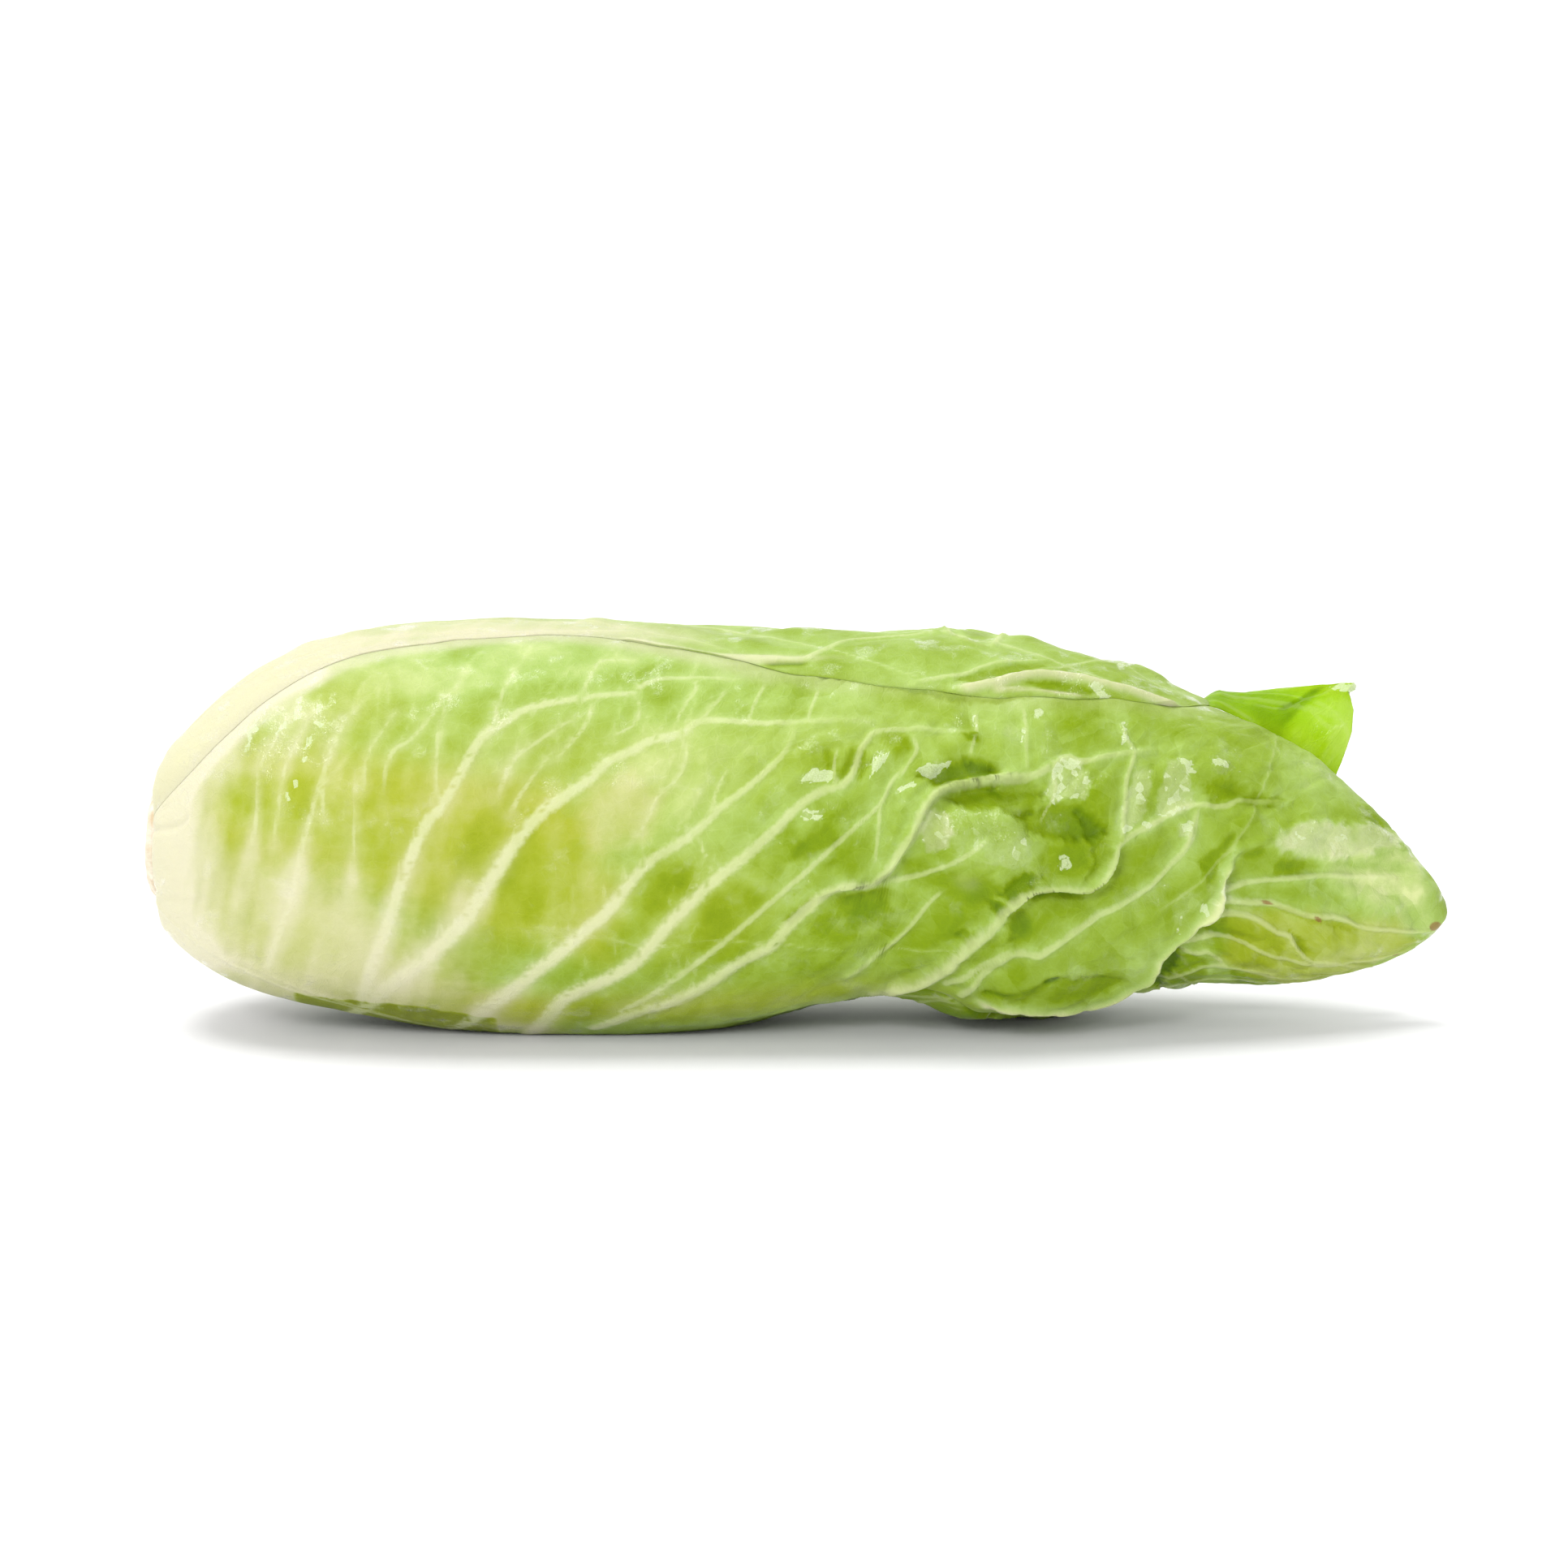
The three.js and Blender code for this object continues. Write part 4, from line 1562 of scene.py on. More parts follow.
        # Painted light along the edge of the leaf that lies over this one, against the shade in the crack.
        net.cream_and_painted_light += self.seam_light * shelter**2 * (1 - 0.6 * far)
        room = np.maximum(roof + self.gap * np.minimum(1, roof), self.dip * shelter)
        depth = np.maximum(room, -net.relief) - np.maximum(net.relief, 0) * (1 - shelter)
        return np.maximum(depth, self.least(net))

    def deepest_near(self, depth: Array) -> Array:
        """The greatest depth within one cell of the inner skin.

        Args:
            depth: The depths.

        Returns:
            The greatest near each point.
        """
        for axis in (0, 1):
            moved = [np.roll(depth, k, axis) for k in range(-self.every, self.every + 1)]
            depth = np.max(moved, 0)
        return depth

    def store(self, made: bpy.types.Object, net: LeafNet) -> None:
        """Stores the net's marks on the mesh, for the finish to read.

        Args:
            made: The leaf.
            net: Its net.
        """
        inside = net.angle[:: self.every, :: self.every].size
        near = np.concatenate([net.vein_near.ravel(), np.full(inside, net.FAR)])
        add_values(made, "vein_near", near)
        for name in net.SEEN:
            add_values(made, name, self.on_both(getattr(net, name)))
        centimetres = np.stack([self.on_both(net.run), self.on_both(net.round)], -1) / 10
        add_map(made, "leaf", centimetres + np.array([self.seed * 3.7, self.seed * 1.9]))

    def on_both(self, values: Array) -> Array:
        """The values of a net's points, for the outer skin and then for the inner one."""
        return np.concatenate([values.ravel(), values[:: self.every, :: self.every].ravel()])


def dressed(made: bpy.types.Object, node: str) -> bpy.types.Object:
    """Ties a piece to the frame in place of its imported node.

    Args:
        made: The piece.
        node: The node that it stands for.

    Returns:
        The piece.
    """
    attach(made, BODY)
    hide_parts(node)
    return made


@dataclass
class SpiralLeaf(Leaf):
    """A leaf of the spiral inside the wrappers, placed by its order in it."""

    order: int = 0
    total: int = 13
    start: float = 44.0
    turn: float = 137.5  # degrees from one leaf to the next
    twist: float = 16.0  # degrees that a leaf turns round the head along its length
    tip_x: tuple[float, float] = (129.0, 24.0)
    deepest: float = 0.78  # the innermost leaf's place, as a share of the way in to the axis
    widening: float = 0.2
    half_width: Table = (
        *((0.0, 54.0), (0.12, 50.0), (0.3, 70.0), (0.5, 96.0)),
        *((0.7, 110.0), (0.86, 100.0), (0.94, 82.0), (1.0, 58.0)),
    )  # degrees, by the share of the leaf's length

    @property
    def share(self) -> float:
        """The leaf's place between the first and the last of the spiral."""
        return self.order / (self.total - 1)

    def tip_station(self, form: HeadForm) -> float:
        """The station of the leaf's tip."""
        first, last = self.tip_x
        return form.station_at_x(first + (last - first) * self.share)

    def stations(self, form: HeadForm) -> Array:
        """The station of each row, evenly spread along the surface."""
        end = float(form.read(form.run, self.tip_station(form)))
        return form.station_at_run(np.linspace(0, end, self.rows))

    def margins(self, form: HeadForm, stations: Array) -> Array:
        """Finds the angles of the margins and the midrib.

        Args:
            form: The head's form.
            stations: The station of each row.

        Returns:
            The lower, midrib and upper angle at each station.
        """
        along = stations / self.tip_station(form)
        middle = self.start - self.turn * self.order + self.twist * along
        table = spline(np.array(self.half_width), 8)
        half = np.interp(along, table[:, 0], table[:, 1]) * (1 + self.widening * self.share)
        return np.stack([middle - half, middle, middle + half], -1)

    def least(self, net: LeafNet) -> Array:
        """The least depth that this leaf lies at."""
        way = net.form.way_in(net.station, net.form.surface(net.station, net.angle))
        return self.deepest * self.share * np.linalg.norm(way, axis=-1)


@dataclass
class RaisedLeaf(Leaf):
    """A leaf whose tip stands up out of the gap between its neighbours, most along its upper margin."""

    every: int = 1
    dense_from: float = 96.0
    crest: Table = (
        *((96.0, 74.0), (101.0, 77.0), (105.0, 78.8), (111.0, 79.0)),
        *((118.0, 80.8), (129.0, 82.6), (134.0, 83.0), (138.0, 82.4)),
    )  # x and height of the upper margin
    edge: Table = (
        *((0.0, 0.4), (0.1, 2.0), (0.22, 3.4), (0.36, 4.7), (0.6, 5.4)),
        *((0.78, 4.6), (0.84, 4.0), (0.9, 4.6), (1.0, 5.8)),
    )  # how far past the tip's x the end stands, from the lower to the upper margin

    def stations(self, form: HeadForm) -> Array:
        """The station of each row, closer together over the raised tip.

        Args:
            form: The head's form.

        Returns:
            The stations.
        """
        tip = float(form.read(form.run, form.station_at_x(self.table[-1][0])))
        dense = float(form.read(form.run, form.station_at_x(self.dense_from)))
        first = self.rows * 2 // 5
        runs = np.linspace(0, dense, first, endpoint=False)
        return form.station_at_run(np.concatenate([runs, np.linspace(dense, tip, self.rows - first)]))

    def places(self, net: LeafNet, board: Elevation, drawn: Places) -> Array:
        """Finds what places stand for, here given by x and the share across the leaf.

        Args:
            net: The leaf's net.
            board: The drawing board, which isn't used.
            drawn: The places.

        Returns:
            One row for each place: its station and its angle on this leaf.
        """
        found = []
        for x, share in drawn:
            station = net.form.station_at_x(x)
            low, high = (np.interp(station, net.station[:, 0], net.angle[:, i]) for i in (0, -1))
            found.append((station, low + (high - low) * share))
        return np.array(found)

    def skins(self, net: LeafNet, depth: Array, inner: Array) -> tuple[Array, Array]:
        """Places the two skins and raises them at the tip.

        Args:
            net: The leaf's net.
            depth: How deep the outer skin lies.
            inner: How deep the inner skin lies.

        Returns:
            The points of the outer and the inner skin.
        """
        outer, inside = super().skins(net, depth, inner)
        share = (net.angle - net.angle[:, :1]) / (net.angle[:, -1:] - net.angle[:, :1])
        x = self.form_x(net)
        upper = net.form.surface(net.station[:, -1:], net.angle[:, -1:])[..., 2]
        height = np.interp(x[:, :1], *np.array(self.crest).T) - upper
        lift = height * share**0.9 * smoothstep(x, self.crest[0][0], self.crest[2][0])
        lean = np.interp(share, *np.array(self.edge).T) * smoothstep(x, 112.0, 132.0)
        bow = 2.2 * np.sin(np.pi * share) * smoothstep(x, 104.0, 124.0)
        raise_by = np.stack([lean, bow, lift], -1)
        outer, inside = outer + raise_by, inside + raise_by
        normal = np.cross(np.gradient(outer, axis=1), np.gradient(outer, axis=0))
        normal /= np.maximum(np.linalg.norm(normal, axis=-1, keepdims=True), 1e-9)
        square = outer + normal * (inner - depth)[..., None]
        free = smoothstep(lift, 0.0, 4.0)[..., None]
        return outer, inside + (square - inside) * free


# ---- the stem


@dataclass
class Stem:
    """The stem's short cone with its cut face at the root end."""

    node: str = "cut_stem"
    cut_x: float = -160.0
    radius: float = 14.0
    centre_z: float = 44.0
    face_rings: float = 0.62  # the share of the rings that lie on the cut face
    finish: StemFinish = field(default_factory=StemFinish)
    rings: int = 60
    segments: int = 180
    seed: int = 91

    def lay(self) -> bpy.types.Object:
        """Builds the stem and dresses it.

        Returns:
            The finished piece.
        """
        turn = np.linspace(0, 2 * np.pi, self.segments, endpoint=False)[None, :]
        at = np.linspace(0, 1, self.rings)[:, None]
        face = np.minimum(at / self.face_rings, 1.0)
        side = np.clip((at - self.face_rings) / (1 - self.face_rings), 0, 1)
        ragged = 0.4 * np.sin(3 * turn + 0.6) + 0.25 * np.sin(7 * turn + 2.0)
        radius = self.radius * face * (1 - 0.97 * side)
        radius = radius + ragged * smoothstep(face, 0.4, 1.0) * (1 - side)
        y, z = -radius * np.cos(turn), radius * np.sin(turn)
        points = np.stack([self.along(face, side, radius, y, z), y, self.centre_z + z], -1)
        points = points.reshape(-1, 3)
        points[: self.segments] = points[: self.segments].mean(0)
        made = mesh_object(f"{self.node}_look", points, self.faces())
        add_values(made, "rim", smoothstep(np.broadcast_to(face, radius.shape), 0.78, 1.0))
        add_map(made, "face", np.stack([y.ravel(), z.ravel()], -1) / 10)
        made.data.materials.append(self.finish.material())
        return dressed(made, self.node)

    def along(self, face: Array, side: Array, radius: Array, y: Array, z: Array) -> Array:
        """Finds the x of each point: a rough face with a rounded rim, then the cone.

        Args:
            face: How far out on the cut face each ring is.
            side: How far along the cone each ring is.
            radius: How far from the axis each point is.
            y: Across the stem.
            z: Up from the stem's axis.

        Returns:
            The x of each point.
        """
        low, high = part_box(self.node)
        length = (high[0] - low[0]) / MM
        rough = 0.35 * soft_noise(y, z, 2.2, self.seed) + 0.8 * soft_noise(y, z, 8.0, self.seed + 1)
        wrinkle = 0.3 * np.sin(0.95 * radius + 0.8 * soft_noise(y, z, 5.0, self.seed + 2))
        rounding = 1.2 * smoothstep(face, 0.84, 1.0)
        return self.cut_x + (0.7 + rough * 0.6 + wrinkle + rounding) * (1 - side) + length * side

    def faces(self) -> list[tuple[int, ...]]:
        """The faces: quads between the rings, triangles round the middle and one at the far end.

        Returns:
            The faces, as point numbers.
        """
        count = self.segments
        here = np.arange(self.rings - 1)[:, None] * count + np.arange(count)
        beside = np.arange(self.rings - 1)[:, None] * count + (np.arange(count) + 1) % count
        quads = np.stack([here, beside, beside + count, here + count], -1)[1:]
        made = [tuple(face) for face in quads.reshape(-1, 4).tolist()]
        made += [(count + i, count + (i + 1) % count, 0) for i in range(count)]
        return [*made, tuple(range((self.rings - 1) * count, self.rings * count))]


# ---- what the outer leaves carry

FRONT_MARKS: tuple[Mark, ...] = (
    # Side veins, from the stem to the tip.
    Vein("-131,14 -128,22 -125,31 -122,45 -120,51 -118,58 -114,70 -110,78", 1, 0.5, 0.3),
    Vein("-108,6 -105,15 -101,26 -97,38 -92,49 -89,53 -84,60 -78,70 -72,75 -66,78 -53,80.4 -47,81.3 -41,82 "
        "-38,84 -33,85.5 -20,85.5 -13,85", 1.7, 0.6, 0.35),
    Vein("-111,3 -102,8.5 -96,13 -89,19 -83,25 -78,33 -74,39 -69,46 -63,52 -57,56.5 -52,60.3 -47,64.5 "
        "-41.7,67.2 -37,70 -29,72 -26,74 -21,75 -7,74.6 4.4,75.1 18,74.8", 2.3, 0.7, 0.45),
    Vein("-88,-1 -78,3 -71.5,7.3 -64.6,12.8 -57.7,19 -53,22.4 -47.2,28 -43,33.5 -37,40.3 -30,44.5 -25,48 "
        "-19.7,53.4 -14,57.6 -8.7,62.4 -3.8,67.2 -0.4,74", 2.2, 0.7, 0.5),
    Vein("-70,-0.5 -60,4 -54,8 -47,11.4 -41,15 -37,19 -31.4,25.2 -26.6,30 -19.7,36.2 -12.8,41.7 -6,48 "
        "-0.4,53.4 5,57 10.6,59 13.4,63 14.8,67.2 17,70.7 19,72 30,73 44,72", 2.3, 0.6, 0.6),
    Vein("-44,3 -25,15 -16,22 -7,30 1,37 8,43 14,49 20,54 22.5,60 26,63.5", 1, 0.5, 0.35),
    Vein("-50,-1 -40,2.5 -32,5.2 -23,10 -15.5,15 -7.3,19 -2.5,24 2.4,29.3 6.5,32 12,34 17,34 21,37 25,42.4 "
        "28,47.2 30.6,52.7 35.4,57.6 41,59.6 48,60.7 57,61.4 61.7,63.8 66,65.8 70.7,65 82,67.2 88,68", 2.1,
        0.7, 0.8),
    Vein("20.5,34.5 28.5,36.2 34,38.3 39,41.7 46,46", 0.8, 0.5, 0.45),
    Vein("11,11.4 19,17 24.4,21.8 32,30 35.4,32.8", 0.8, 0.5, 0.5),
    Vein("18,8 28.5,10 35.4,13.5 39,16.9 43,20.4 48,24.5 52.8,29.3 58.3,32.2 64,32.8 70,32.6 73.4,33.8 "
        "76.2,36.9 78.3,41 79.6,44.5 83,47.2 88.6,50 96.2,53.8 105,53.8 109.2,55.5 121.6,55.2", 1.7, 0.6,
        0.8),
    Vein("79.6,44.5 80.3,53.4 81,60.3 82.4,67.2 81,70 79.6,74", 0.8, 0.5, 0.6),
    Vein("40,7.3 45.9,13 52.8,17 59,16.8 63,19 70,23.8 77.6,28 85.8,32.8 91.3,38.3 95.5,43.8 97.5,49.3 "
        "98.2,53.4", 1.1, 0.6, 0.6),
    Vein("36,10 42,12.6 48,16 53,18", 0.9, 0.7, 0.4),
    # The fan of veins under the fold at the tip.
    Vein("102,27 105,31 111.3,34.4 118,35.6 132,36.6 147,36.2", 0.9, 0.6, 0.6),
    Vein("101,26 105,29.3 111.3,29.7 117,29.3 121.6,28 126,26.6 134,25.9 139,23.8 147,23 155,23", 1.1, 0.6,
        0.8),
    Vein("100,25 108,26.6 113.4,25.2 118.2,22.4 121.6,21 123,18.3 126,15.5 132,15 141,14.2", 1, 0.6, 0.6),
    Vein("93.6,17.4 97.5,16.4 101,17.3 103.7,15.6 106.5,13.5 116.8,12", 0.85, 0.5, 0.5),
    Vein("92.5,11.6 95,10.4 98,9", 0.7, 0.5, 0.4),
    # Thin veins that join them.
    Vein("-75,73 -73,81 -69,88", 0.8, 0.4, 0.2),
    Vein("-89.4,53.4 -89.4,63 -88,73.4 -85,81.7 -83,86.5", 0.7, 0.35, 0.2),
    Vein("-103,54 -100.4,66 -95,70 -90.8,75.5 -88,79.6 -86,82.4", 0.7, 0.35, 0.2),
    Vein("-107,56 -106,66 -103,71 -99.4,77", 0.6, 0.3, 0.2),
    Vein("-135,42 -133.5,52 -132.8,63 -130,68.6 -124.5,77.5", 0.8, 0.35, 0.25),
    Vein("-129,44 -128,53.4 -126.6,63 -124,68.6 -120,76", 0.7, 0.35, 0.2),
    Vein("-117,50 -117,60 -116,68", 0.6, 0.3, 0.2),
    Vein("-110,36 -109,52 -109,62", 0.6, 0.3, 0.15),
    Vein("-71,52 -68.7,56 -65.3,61 -60,68", 0.7, 0.4, 0.2),
    Vein("-74.5,55 -72.2,61.7 -69.4,65.8 -64.6,69.3 -59.8,72.7 -55,76", 0.7, 0.4, 0.2),
    Vein("-53.8,81 -51.4,86.5 -48,89.6 -41,90", 0.7, 0.4, 0.2),
    Vein("-50.7,80.2 -52,74.8 -54.8,70.7 -60,65", 0.7, 0.4, 0.2),
    Vein("-41,82 -39,78 -41,74 -46,70.7", 0.6, 0.35, 0.15),
    Vein("-25.9,85 -25.5,83 -28.6,78.2 -30.7,74", 0.7, 0.4, 0.2),
    Vein("-17.5,83 -20,80 -23,77 -25,75", 0.6, 0.35, 0.15),
    Vein("-8,84.4 -10.7,80.3 -12,76.9 -12,75.1", 0.6, 0.35, 0.2),
    Vein("5,83 3,79.6 1.7,75.1", 0.6, 0.4, 0.2),
    Vein("-28.6,71.3 -28.3,67.2 -29.3,63 -32,59 -35.5,56.2 -37,52 -43,42", 0.7, 0.4, 0.25),
    Vein("-22.4,51.4 -20.4,57.6 -17.6,63", 0.6, 0.35, 0.2),
    Vein("-25,48 -24,43 -22,41", 0.6, 0.35, 0.2),
    Vein("9.5,59 8.5,63 9,68", 0.6, 0.4, 0.3),
    Vein("20,54 19.5,46 18.5,39", 0.6, 0.4, 0.3),
    Vein("28,71 29,68 27,64 25,61", 0.6, 0.4, 0.3),
    Vein("43.5,77 44,73 42,66", 0.6, 0.4, 0.25),
    Vein("55,78 56,72 56,62", 0.6, 0.4, 0.3),
    Vein("62,64 63,58 60,50", 0.6, 0.4, 0.3),
    Vein("98.2,53.4 98,47 95,42 92,38", 0.6, 0.4, 0.3),
    Vein("-66,20 -52,21.5 -36,19.5 -20,20.5 4,19 20,18.5 40,18", 0.22, 0.2, 0.1, 0.3),
    Vein("116.5,71 115.5,64 113,55 109,47 103,40 95,32 88,28", 0.22, 0.2, 0.1, 0.3),
    # The broad pale feet of the side veins.
    pale_foot("-141,16 -137,30 -134,46 -133,60 -131,70", 1.8, 0.18, 26),
    pale_foot("-131,10 -127,26 -122,44 -119,58 -114,70", 2, 0.14, 30),
    pale_foot("-118,12 -114,26 -110,38 -109,54 -108,62", 1.6, 0.1, 26),
    pale_foot("-110,4 -104,18 -99,32 -92,48 -83,62", 2.4, 0.2, 28),
    pale_foot("-96,6 -90,20 -84,34 -79,46", 1.6, 0.14, 18),
    pale_foot("-108,2 -96,13 -86,22.4 -78,33 -70,45 -62,53", 3.6, 0.18, 28),
    pale_foot("-88,-4 -74,5.4 -61,16 -50,25 -40,37 -29,45", 3, 0.24, 26),
    pale_foot("-70,-2 -58,5 -46,12 -35,21 -24,32.6 -12,42.5", 2.8, 0.22, 24),
    pale_foot("-50,-2 -38,3 -26,8.4 -14,15.6 -2,24.6", 2.6, 0.06, 20),
    pale_foot("10,5 22,8.8 36,14 44,21", 2.4, 0.18, 12),
    # Folds. Where a fold is darker along its crease or under a ridge, that is painted shade.
    Fold("2,30.5 8,33 16,34.3 21,37.3 25.5,43 28.5,48.5 31,53.5 35.5,58 41,60 48,61 57,61.6", 1.1, 1.2,
        right=-2.4, reach=5.0, fade=6.0),
    Fold("50,26.5 54,29.8 58,32.2 64,33 70,32.8 74.5,34.5 77.5,39 79,45", 1.4, 1.1, left=0.6, right=-2.6,
        reach=5.0, fade=3.0),
    # Painted shadow under the ridge above.
    Fold("56,30.2 62,31.6 68,31.5 72,32.1 75,33.8", -0.9, 0.8, tone=-1.1, fade=3.0),
    Fold("20,8 30,10.8 37,15 43,20.3 48.5,25", 1.2, 1.7, cream_and_painted_light=0.1, fade=4.0),
    Fold("44,5.4 49,4.5 56,3.8 63,3.6 70,4.6 75.5,6.4 80.3,8.6 85.8,11.4 88.6,14.4 91,17.2 97.5,22.8 "
        "101,25.8 104.2,30.3 105.2,36 107.9,42", 1.5, 1.3, tone=0.8, cream_and_painted_light=0.22, left=1.2, right=-3.0,
        reach=6.0, fade=6.0),
    Fold("42,6.6 48,4 56,2.6 64,2.6 71,3.4 77,5.6 82,8.2", 0.3, 1.3, tone=1.0, cream_and_painted_light=0.3, fade=5.0),
    Fold("87,11 90,14.6 92.8,17.6 99,22.6 102.8,25.6", -0.6, 0.7, tone=-0.9, fade=2.0),
    Fold("105,40 108,42.8 112,44.3 117,45.4", 0.9, 1.1, tone=0.2, left=0.4, right=-0.8, fade=3.0),
    Fold("109,41.2 112,42 116,43.6", -0.4, 0.7, tone=-0.35, fade=3.0),
    Fold("9,59 11,61 13,65 14.5,70", -0.9, 1.1, tone=-0.6, fade=4.0),
    Fold("4.5,32 0.5,28 -4,24", -0.8, 1, tone=-0.7, fade=3.0),
    Fold("24,33 18,31.6 12,30.6 8,30.4", -0.7, 0.9, tone=-0.5, fade=4.0),
    Fold("59.5,10 62,11.2 65,11.7", -0.8, 0.6, tone=-1.4, fade=1.5),
    Fold("43,7.6 49,8 56,9 62,10.8", -0.5, 0.7, tone=-0.5, fade=3.0),
    Fold("100,53.2 104,53 109,54.8 114,54.3 121,54.6", -0.25, 0.8, tone=-0.2, fade=5.0),
    # Planes and hollows of the crumpled half; the darker tone of the hollows is painted shade.
    Facet("29,61 33,62.8 38,65 42,66 46,65 50.2,62.4 46,60.8 40,60 34,59", -1.8, -0.7, 2.2),
    Facet("39,64.4 42,65.4 46,64.4 49.4,62.2 44,61.4", 0, -0.3, 1),
    Facet("36,56 41,59 49,60.2 57,60.6 60.5,57 58,52 54,49.5 49,53.5 42,53", -2.2, -0.4, 2),
    Facet("45,59 49.5,59.8 50,56.6 47.6,57.4", 0, -0.4),
    Facet("54,51 58,53 61.5,54.5 64,54 69,54.6 72.5,52.5 76,48 73.5,46 68,45 61,45.4 56,47", -2.2, -0.38,
        1.8),
    Facet("66.4,52 70,52.6 72,49 71,44.6 68,43.6 66.6,47", -0.4, -0.05, 2),
    Facet("69,53 73,50.5 76.2,47 77,42 74,37 71,36 73,42 71.5,47", -1, -0.28, 2.2),
    Facet("60,44.5 70,45 72,40 70,35 61,35 58,38", -0.5, -0.25, 3),
    Facet("47.4,29.6 50.4,30.2 51.6,28 49.6,26.4 47.4,27", -1.4, -0.9),
    Facet("49,31.5 51,35.4 55,37.4 59.5,36 56,32.8 52,30.4", -0.9, -0.75, 1.6),
    Facet("25,41 30,40 36,37 46,37 50,34 46,30 40,29 34,33 26,35", -0.6, -0.3, 3),
    Facet("51.6,25.5 56,27.4 57.4,22 54,19 51,20", -0.6, -0.42, 2.8),
    Facet("40,24 43,22.5 42,19.5 39,21.5", -0.5, -0.5, 1.6),
    Facet("52,26 62,31 72,31.4 77,35 80,42 88,48 94,50.5 96,46 90,38 82,32 72,25.5 60,18.5 52,18", -0.6,
        -0.12, 2.6, cream_and_painted_light=0.06),
    Facet("46,7.4 54,8.4 60,9.8 66,11.4 75,12.4 80,11.6 76,8.8 70,7 60,6 52,6", -0.8, -0.3, 1.8),
    Facet("26,30 34,33 42,28 36,20 24,17 18,21", 0, -0.25, 3),
    Facet("0,21 12,20.5 24,27 20,31 8,30", -0.5, -0.25, 3),
    Facet("13,24 20,27.6 23,31.6 16,30.6 11,27", -0.5, -0.3, 3),
    Facet("0,45 4,48.8 9,48.4 9.4,45 5,42 -1,41", -0.7, -0.35, 2.8),
    Facet("12,47.6 18,46 18.6,40 13,37 6,39 8.6,44", -0.6, -0.3, 3.4),
    Facet("-8,47 -2,50 2,44 -6,36 -12,38 -13,43", -0.3, -0.35, 3),
    Facet("13,64 16,67.5 17.5,64 15,61", -0.6, -0.6, 1.6),
    Facet("6,67 9,67.5 9.5,63 7,62.5", -0.5, -0.4, 1.6),
    Facet("20.5,71 26.5,71.5 27.5,68 24,66.5 21,68", 0, -0.35, 1.6),
    Facet("40,72 43.5,72 44,70 41,69.8", 0, -0.7, 1),
    Facet("99,59 106,60.5 112,57.5 121,56 117,54.8 109,55.6 102,54", -0.5, -0.4, 1.8),
    Facet("99,41 103,44 106.5,47.5 107,45 104,40 101,34 99,37", -0.6, -0.4, 1.6),
    Facet("86.6,10 88,13.4 90,16 93.5,18.6 96,16.6 93.6,13.6 91,10.6 90,7", -1.4, -1.2, 1.6),
    Facet("93.4,15.4 95,13.6 98,12 96,15.6", 0, 0, 1.2, cream_and_painted_light=0.3),
    Facet("100,22.5 109,22.4 112,21 104,20.4", 0, -0.5),
    Facet("103,27 110,26 117,22.5 121,19.5 118,14 110,13.5 105,16 100,19", 0, -0.34, 2.5),
    Facet("121.6,22.5 124.5,20.5 125.5,17 123,18.5", -0.7, -0.8),
    Facet("107,12.5 113,11.6 118,10.4 112,8.6 108,9.6", 0, -0.5),
    Facet("119,28.6 126,26.4 135,25 139,22.6 130,24 122,26.4", -0.4, -0.4, 1.2),
    Facet("117,40 122,40.6 128,39 124,36.6 118,36.6", -0.5, -0.4, 2),
    Facet("134,40 148,40 150,38 140,38", 0, -0.25, 2),
    # Painted shadow under the edge of the top leaf.
    Facet("10,85.4 22,84.6 32,84 39,82 46,80.6 57,81 50,79.6 38,79.6 24,82.4", 0, -0.5),
    # Bulges, then the wet places: their pale tint is painted sheen and their glare painted highlights, under
    # a glossy coat.
    Spot((12, 3), (24, 10), height=-4.0),
    Spot((60, -2), (26, 12), height=-4.2),
    Spot((44, 45.5), (13, 8), 10, height=5.4, tone=0.05),
    Facet("29,50 34,54 37,50 36,44 31,42.5", 0, 0, 1.6, cream_and_painted_light=0.35, wet=0.6, glare=0.25),
    Facet("36,52 47,51 55,48 58,43 56,39 48,38 38,40 35,45", 0, 0.08, 3, cream_and_painted_light=0.16, wet=0.5, glare=0.06),
    Facet("46,45 51,47.4 56,45.6 57,41 52,39 46,40.6", cream_and_painted_light=0.04, wet=0.8, glare=0.18),
    Facet("61,57 62,62 65,66 70,65 72,60 70.6,55.4 66,56 63,54.8", 0, 0.2, 1, cream_and_painted_light=0.26, wet=1.0,
        glare=0.42),
    Facet("79.4,47.6 80.6,55 83,63.6 87,63 86.4,56 85,50", 0, 0.15, cream_and_painted_light=0.24, wet=1.0, glare=0.22),
    Facet("88,51 88.6,58 91,66 96,64 97.6,58 97,53", 0, 0.15, cream_and_painted_light=0.24, wet=1.0, glare=0.3),
    Facet("93.4,49 97.4,50.4 97,46 94,46", 0, 0, 1, cream_and_painted_light=0.2, glare=0.6, wet=1.0),
    glint("84.5,50 87.4,49.8 86.6,47.6", 1.0),
    glint("78.6,47 80.4,50.6 82,48.4 80.4,46.6"),
    glint("64.4,41.6 66.2,41 68,38.8 66,37.4 64.4,38.4", 1.0),
    glint("29,62.2 32,63.6 37.6,65 36,63.2 32,60.6", 1.0),
    Facet("0.4,60 3.6,63.4 8,62.8 8.6,60.6 5,59.4", 0.4, 0, 0.9, glare=1.0, wet=1.0),
    Facet("0.4,53 6,52.4 6.6,50.6 2,50.8", 0, 0, 1, glare=0.5, cream_and_painted_light=0.2, wet=1.0),
    glint("17.6,61 18,66.6 22.2,66.2 20,62.4", 0.9, 0.9),
    glint("23.4,57.4 27.4,59.4 28,58.6 24.4,57", 1.0, 0.7),
    glint("54.4,69.6 54.8,73 56,72.4 55.6,69.6"),
